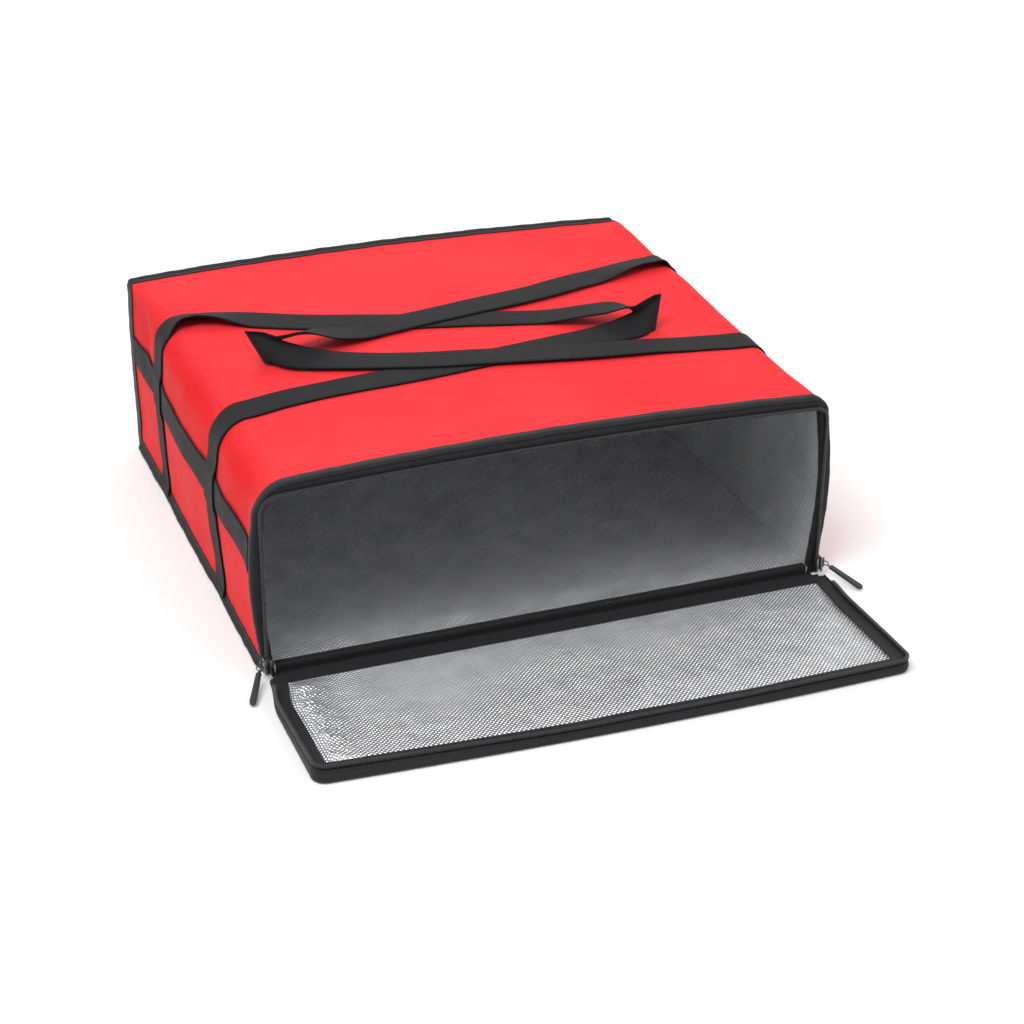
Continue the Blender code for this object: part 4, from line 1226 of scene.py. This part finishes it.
def sewBelts():
    # Each row stops where a strap crosses the belt
    spots, clear = [], webbing["width"] / 2 + stitch["strapGap"]
    for side, label in sides:
        depths = [depth for depth in depthStops(stitch["beltStart"], beltEnd, belt["step"])
                  if min(abs(depth - at) for at in strapDepths[label]) > clear]
        for way in (-1, 1):
            share = way * (0.5 - stitch["webInset"] / belt["width"])
            points = [beltSpot(side, label, depth, share) for depth in depths]
            runs = [[points[0]]]
            for a, b in zip(points, points[1:]):
                if (b - a).length > webbing["width"] / 2:
                    runs.append([])
                runs[-1].append(b)
            for run in runs:
                spots += sideRow(run, side)
    sew("belt_stitches", spots, slot="black_webbing")


sewStraps()
sewBindings()
sewBelts()
print("stitching made")


# Zipper: a tape on the mouth's rim, a coil along its edge, and the same on the flap
chain = dict(
    drop=0.008, crown=0.006, radius=0.016, rightRadius=0.011, leastRadius=0.001, pitch=0.0016, step=0.002,
    tooth=(0.0011, 0.0030, 0.0022), bevel=0.00035, low=0.0064, front=-0.0043,
    flapLow=0.0235, flapBase=0.0091,
)
hinge = dict(
    height=0.0029, y=frame["joints"][0]["pos_m"][1], roll=0.0028, rollSteps=20, hem=0.0008, inset=0.004,
    rows=110, uneven=0.06, unevenFrom=0.001, unevenSize=0.02, girth=0.03, bend=0.005,
    tape=0.0004, tapeBevel=0.0001,
)
flapSize = dict(
    overhang=0.0015, leg=0.0128, root=0.0060, panel=0.0011, corner=0.0100, clothStep=0.008,
    foam=0.0018, foamBase=0.0040, foamStep=0.010, foil=0.0004, foilBase=0.0047, foilStep=0.0022,
    bandRise=0.0022, riseFrom=(0.010, 0.040), bandHigh=0.006, bandWave=0.0010, groundReach=0.0053, step=0.004,
    stitchBase=0.0057,
)
flapHang = dict(
    lift=0.0008, cornerLift=0.0034, liftFrom=0.02, shift=-0.0042, freeFrom=(0.004, 0.060), turn=0.0056,
    leftBulge=-0.0034, bulgeFrom=(0.17, 0.25), ripple=0.0008, rippleWidth=0.11, rippleDepth=0.09,
)
filmFolds = dict(
    start=0.200, top=0.229, creases=0.0007, creaseSize=(0.020, 0.026), roll=0.0022, folds=0.0034,
    foldSize=(0.018, 0.0075), bandClear=(-0.0005, 0.0060), rootClear=(0.0150, 0.0270),
)
zipperEdge = dict(
    width=0.008, thickness=0.0006, bevel=0.0001, low=0.0009, step=0.004,
    back=-0.0014, front=-0.0029, bend=0.0004, rootOut=-0.0030, rootDepth=-0.0017,
    flapProfile=((0.0070, 0.0061), (0.0035, 0.0062), (0.0005, 0.0066), (0.0, 0.0070), (0.0, 0.0077)),
)
zipTop = bag["height"] - chain["drop"]


def crownUp(x, z):
    return z + chain["crown"] * max(1 - (2 * x / bag["width"]) ** 2, 0) * (z / zipTop) ** 2


def chainAt(u, inset, grow=0.0, corner=None):
    # (x, z) along the three zipped edges, with grow added to the path's own reach
    if corner is None:
        corner = chain["radius"] if u < wrapEnd / 2 else chain["rightRadius"]
    radius = max(corner + grow - inset, chain["leastRadius"])
    x, z = archSpot(u, bag["width"] / 2 + grow - inset, zipTop + grow - inset, radius)
    return x, crownUp(x, z)


def chainStops(low, step):
    share = low / (zipTop - chain["radius"])
    return stopsAlong(share, wrapEnd - share, step)


def flapLift(x, up):
    # The open flap isn't quite flat: its front edge and its left side stand up a little
    look = flapHang
    ahead = smoothStep(up, look["liftFrom"], zipTop)
    left = smoothStep(-x, look["liftFrom"], bag["width"] / 2)
    ripple = waver(x / look["rippleWidth"], up / look["rippleDepth"], 6.0) + 0.5
    lift = look["lift"] * ahead + look["cornerLift"] * left * ahead ** 1.5 + look["ripple"] * ahead * ripple
    return max(lift, 0)


def flapSpot(x, up, base):
    # It also hangs a little askew, to the left and round to the right
    look, lift = flapHang, flapLift(x, up)
    free = smoothStep(up, *look["freeFrom"])
    turned = up + look["turn"] * up / zipTop * 2 * x / bag["width"]
    shifted = x + free * (look["shift"] + look["leftBulge"] * smoothStep(-x, *look["bulgeFrom"]))
    return Vector((shifted, hinge["y"] - (turned - hinge["height"]), base + lift))


def bandRise(up):
    return flapSize["bandRise"] * smoothStep(up, *flapSize["riseFrom"])


def makeTape(name, stations, spotAt, turned, body, node):
    obj = addGrid(name, len(stations) - 1, 4, spotAt, (wrapRun, zipperEdge["width"]))
    thicken(turnOver(obj) if turned else obj, zipperEdge["thickness"], zipperEdge["bevel"])
    finishPiece(obj, zipperTape, body, "black_binding", node)


def makeTapes():
    look, mouth = zipperEdge, -bag["depth"] / 2
    mouthStops = chainStops(look["low"], look["step"])
    flapStops = chainStops(flapSize["root"] + flapSize["overhang"], look["step"])

    def mouthSpot(row, column):
        # Five columns, from the root behind the rim's binding round a bend to the edge that bears the coil
        u = mouthStops[row]
        x, z = chainAt(u, 0)
        root = wrapAt(u, look["rootOut"], look["rootDepth"])
        bend = Vector((x, look["back"] - look["bend"] + mouth, z))
        edge = Vector((x, look["front"] + mouth, z))
        return [root, root.lerp(bend, 0.45), bend, bend.lerp(edge, 0.5), edge][column]

    def flapTapeSpot(row, column):
        inset, base = look["flapProfile"][column]
        x, up = chainAt(flapStops[row], inset, 0, flapSize["corner"])
        return flapSpot(x, up, base + bandRise(up))

    makeTape("mouth_tape", mouthStops, mouthSpot, False, "bag_body", "mouth_zipper_tape")
    makeTape("flap_tape", flapStops, flapTapeSpot, True, "flap", "flap_zipper_tape")


def makeCoil(name, line, offset, facing, body, node):
    spots = []
    for index, place, ahead in evenSpots(line, chain["pitch"], offset):
        out = facing.cross(ahead).normalized()
        spots.append((place, ahead, out, ahead.cross(out)))
    obj = repeatAlong(name, roundedBlock(chain["tooth"], chain["bevel"]), spots)
    finishPiece(obj, blackCoil, body, "zipper_teeth", node)


def makeCoils():
    mouthLine, flapLine = [], []
    for u in chainStops(chain["low"], chain["step"]):
        x, z = chainAt(u, 0)
        mouthLine.append(Vector((x, chain["front"] - bag["depth"] / 2, z)))
    for u in chainStops(chain["flapLow"], chain["step"]):
        x, up = chainAt(u, 0, 0, flapSize["corner"])
        flapLine.append(flapSpot(x, up, chain["flapBase"] + bandRise(up)))
    makeCoil("mouth_coil", mouthLine, 0, Vector((0, -1, 0)), "bag_body", "mouth_zipper_teeth")
    makeCoil("flap_coil", flapLine, chain["pitch"] / 2, Vector((0, 0, 1)), "flap", "flap_zipper_teeth")


# Flap
def flapSheet(name, inset, base, step, rise=None):
    half = bag["width"] / 2 + flapSize["overhang"] - inset
    top = zipTop + flapSize["overhang"] - inset
    radius = flapSize["corner"] + flapSize["overhang"] - inset
    columns, rows = round(2 * half / step), round(top / step)

    def spotAt(row, column):
        x = (1 - 2 * row / columns) * half
        up = roundedTop(x, mix(flapSize["root"], top, column / rows), half, top, radius)
        return flapSpot(x, crownUp(x, up), base + (rise(x, up) if rise else 0))

    return addGrid(name, columns, rows, spotAt, (2 * half, top))


def filmCreases(x, up):
    # The film is creased all over, rolls up in sharp folds at the left band and lies flat under the bands
    look = filmFolds
    free = smoothStep(bag["width"] / 2 - flapSize["leg"] - abs(x), *look["bandClear"])
    free *= smoothStep(zipTop - flapSize["leg"] - up, *look["bandClear"])
    free *= smoothStep(up, *look["rootClear"])
    left = smoothStep(-x, look["start"], look["top"])
    (wide, deep), (foldWide, foldDeep) = look["creaseSize"], look["foldSize"]
    folds = look["roll"] + look["folds"] * crease(x / foldWide, up / foldDeep, 7.0, 0.8)
    return free * (look["creases"] * crease(x / wide, up / deep, 2.0) + left * folds)


def makeFlap():
    edge, flat, leg = rim["thickness"] + layers["gap"], (bag["width"], bag["height"]), flapSize["leg"]
    cloth = flapSheet("flap_cloth", edge, flapSize["panel"] + layers["fabric"], flapSize["clothStep"])
    finishSheet(cloth, layers["fabric"], redCloth, "flap", "red_fabric", "flap_outer_panel",
                flat=flat, held="laid", rests_on=["flap_foam"])
    board = flapSheet("flap_foam", edge, flapSize["foamBase"], flapSize["foamStep"])
    finishFoam(board, flapSize["foam"], "flap", "flap_foam_board")
    foil = flapSheet("flap_foil", edge, flapSize["foilBase"], flapSize["foilStep"], filmCreases)
    finishSheet(foil, flapSize["foil"], silverFoil, "flap", "silver_foil", "flap_foil_lining",
                flat=flat, held="laid", rests_on=["flap_foam"])

    # Each point of the band's profile is its way in from the edge and its height
    profile = [
        (0.0070, 0.0001), (0.0025, 0.0001), (0.0006, 0.0006), (-0.0002, 0.0020), (-0.0002, 0.0038),
        (0.0006, 0.0053), (0.0020, 0.0059), (leg * 0.4, 0.0061), (leg * 0.75, 0.0060), (leg, 0.0056),
    ]
    stations = chainStops(flapSize["root"], flapSize["step"])

    def spotAt(u, inset, base):
        if inset == leg:
            inset += edgeWave(runOf(u), 21.0, flapSize["bandWave"])
        x, up = chainAt(u, inset, flapSize["overhang"], flapSize["corner"])
        spot = flapSpot(x, up, base + bandRise(up) * base / flapSize["bandHigh"])
        # The under leg stays on the ground where the rest stands up from it
        spot.z -= flapLift(x, up) * (1 - smoothStep(base, 0, flapSize["groundReach"]))
        return spot

    band = profileSheet("flap_binding", stations, profile, spotAt, wrapRun)
    finishBinding(band, "flap_edge_binding", "flap")
    points = [spotAt(u, leg - stitch["inset"], flapSize["stitchBase"]) for u in stations]
    sew("flap_stitches", rowSpots(points, lambda index: Vector((0, 0, 1))), "flap")


def makeHinge():
    # The cloth under the mouth ends in a rolled seam round the fold line; a tape runs from it onto the flap
    look, y, height, roll, rows = hinge, hinge["y"], hinge["height"], hinge["roll"], hinge["rows"]
    half, back = bag["width"] / 2 - look["inset"], zipperEdge["back"] - bag["depth"] / 2
    cut = math.asin((height - look["hem"]) / roll)
    turns = [-cut + (math.pi + 2 * cut) * share for share in sharesOf(look["rollSteps"])]
    outline = [(back, 0.0), (back, look["hem"])]
    outline += [(y + roll * math.cos(a), height + roll * math.sin(a)) for a in turns]
    outline += [(outline[-1][0], 0.0), (y, 0.0)]

    def spotAt(row, column):
        out, z = outline[column % len(outline)]
        x = (2 * row / rows - 1) * half
        if z > look["unevenFrom"]:
            uneven = look["uneven"] * waver(x / look["unevenSize"], 1.5, 8.0)
            out, z = mix(out, y, uneven), mix(z, height, uneven)
        return Vector((x, out, max(z, 0)))

    obj = addGrid("hinge_cloth", rows, len(outline), spotAt, (2 * half, look["girth"]))
    finishPiece(closeTube(obj), blackBinding, "bag_body", "black_binding", "flap_hinge_strip")

    profile = [(0.0, 0.0061), (0.002, 0.0063), (0.0045, 0.0062), (0.008, 0.0061), (0.0125, 0.0060)]

    def tapeSpot(row, column):
        out, z = profile[column]
        return Vector(((2 * row / rows - 1) * half, y - out, z))

    tape = addGrid("flap_root_tape", rows, len(profile) - 1, tapeSpot, (2 * half, profile[-1][0]))
    thicken(turnOver(tape), look["tape"], look["tapeBevel"])
    dress(tape, blackBinding)
    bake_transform(tape)


makeTapes()
makeCoils()
makeFlap()
makeHinge()
print("zipper and flap made")


# Sliders, pulls and chain stops keep the shape of the solids, with their edges softened
metalWork = dict(slider=0.00022, link=0.00012, tab=0.0006, stop=0.0003)


def softenedPiece(name, node, material, body, slot, width, segments=2, degrees=35):
    obj = copyNode(node, name)
    softenEdges(obj, width, segments, degrees)
    faceOut(obj)
    smoothShade(obj, 50)
    finishPiece(obj, material, body, slot, node)


def makePulls():
    for side, label in sides:
        slider, pull = label + "_slider_body", label + "_pull_body"
        softenedPiece(label + "_slider_cast", label + "_zipper_slider", nickelMetal, slider, "zipper_metal",
                      metalWork["slider"])
        softenedPiece(label + "_link_cast", label + "_pull_link", nickelMetal, pull, "zipper_metal",
                      metalWork["link"], 1, 60)
        softenedPiece(label + "_tab_moulding", label + "_pull_tab", blackRubber, pull, "pull_tab",
                      metalWork["tab"])
        softenedPiece(label + "_stop_clamp", label + "_chain_stop", nickelMetal, "bag_body", "zipper_metal",
                      metalWork["stop"])


makePulls()
print("sliders and pulls made")


# Floor, camera and light
stageLook = dict(
    dark=(0.92, 0.92, 0.92), light=(0.93, 0.93, 0.93), stops=(0.2, 0.8), size=14.0, below=-0.0002,
    roughness=0.8, specular=0.2, glow=0.09, farGlow=0.75, farFrom=1.2, farTo=3.2,
)
cameraLook = dict(
    place=(-0.6305, -1.7711, 0.9643), lens=79.4, sensor=36, yaw=0.36853, pitch=0.47749, roll=0.00744,
)
lightLook = dict(
    key=dict(place=(-1.3, -0.9, 2.5), aim=(0, 0, 0.1), size=1.8, power=54),
    fill=dict(place=(1.7, -1.7, 1.8), aim=(0, 0, 0.1), size=2.0, power=16),
    back=dict(place=(0.5, 2.2, 2.2), aim=(0, 0, 0.1), size=2.0, power=22),
    world=0.50,
)


def seenDirectly(tree):
    # One for what the camera, a gloss or a clear surface sees, nought for what only lights the object
    path = tree.nodes.new("ShaderNodeLightPath")
    either = mathNode(tree, "MAXIMUM", path.outputs["Is Camera Ray"], path.outputs["Is Glossy Ray"])
    return mathNode(tree, "MAXIMUM", either, path.outputs["Is Transmission Ray"])


def makeStage():
    look, white = stageLook, (1, 1, 1, 1)
    deselectAll()
    bpy.ops.mesh.primitive_plane_add(size=look["size"], location=(0, 0, look["below"]))
    floor = bpy.context.object
    floor.name = "studio_floor"
    mat, tree, shader = newMaterial("studio floor")
    # The lamps fade away from the bag, so the floor glows more there to stay as pale
    away = addNode(tree, "VectorMath", {0: objectVector(tree)}, "Value", operation="LENGTH")
    glow = addNode(tree, "MapRange", {
        "Value": away, "From Min": look["farFrom"], "From Max": look["farTo"], "To Min": look["glow"],
        "To Max": look["farGlow"],
    }, "Result", interpolation_type="SMOOTHSTEP")
    setInputs(shader, {
        "Base Color": shadeOf(tree, noiseNode(tree, 3.0, 2.0, 0.5), look), "Roughness": look["roughness"],
        "Specular IOR Level": look["specular"], "Emission Color": white,
        "Emission Strength": mathNode(tree, "MULTIPLY", seenDirectly(tree), glow),
    })
    floor.data.materials.append(mat)

    world = bpy.data.worlds.new("studio")
    world.use_nodes = True
    tree, level = world.node_tree, lightLook["world"]
    strength = mathNode(tree, "MULTIPLY_ADD", seenDirectly(tree), 1 - level, level)
    setInputs(tree.nodes["Background"], {"Color": white, "Strength": strength})
    bpy.context.scene.world = world


def makeLights():
    for name in ("key", "fill", "back"):
        look = lightLook[name]
        deselectAll()
        bpy.ops.object.light_add(type="AREA", location=look["place"])
        lamp = bpy.context.object
        lamp.name = name + "_light"
        lamp.data.shape = "DISK"
        lamp.data.size = look["size"]
        lamp.data.energy = look["power"]
        aim = Vector(look["aim"]) - Vector(look["place"])
        lamp.rotation_euler = aim.to_track_quat("-Z", "Y").to_euler()


def makeCamera():
    yaw, pitch, roll = cameraLook["yaw"], cameraLook["pitch"], cameraLook["roll"]
    ahead = Vector((math.sin(yaw) * math.cos(pitch), math.cos(yaw) * math.cos(pitch), -math.sin(pitch)))
    right = Vector((math.cos(yaw), -math.sin(yaw), 0))
    up = right.cross(ahead)
    across = right * math.cos(roll) + up * math.sin(roll)
    upward = up * math.cos(roll) - right * math.sin(roll)
    deselectAll()
    bpy.ops.object.camera_add(location=cameraLook["place"])
    camera = bpy.context.object
    camera.name = "photo_camera"
    camera.data.lens = cameraLook["lens"]
    camera.data.sensor_width = cameraLook["sensor"]
    camera.rotation_euler = Matrix((across, upward, -ahead)).transposed().to_euler()
    bpy.context.scene.camera = camera


makeStage()
makeLights()
makeCamera()
bpy.context.scene.view_settings.view_transform = "Standard"
print("stage, lights and camera set")
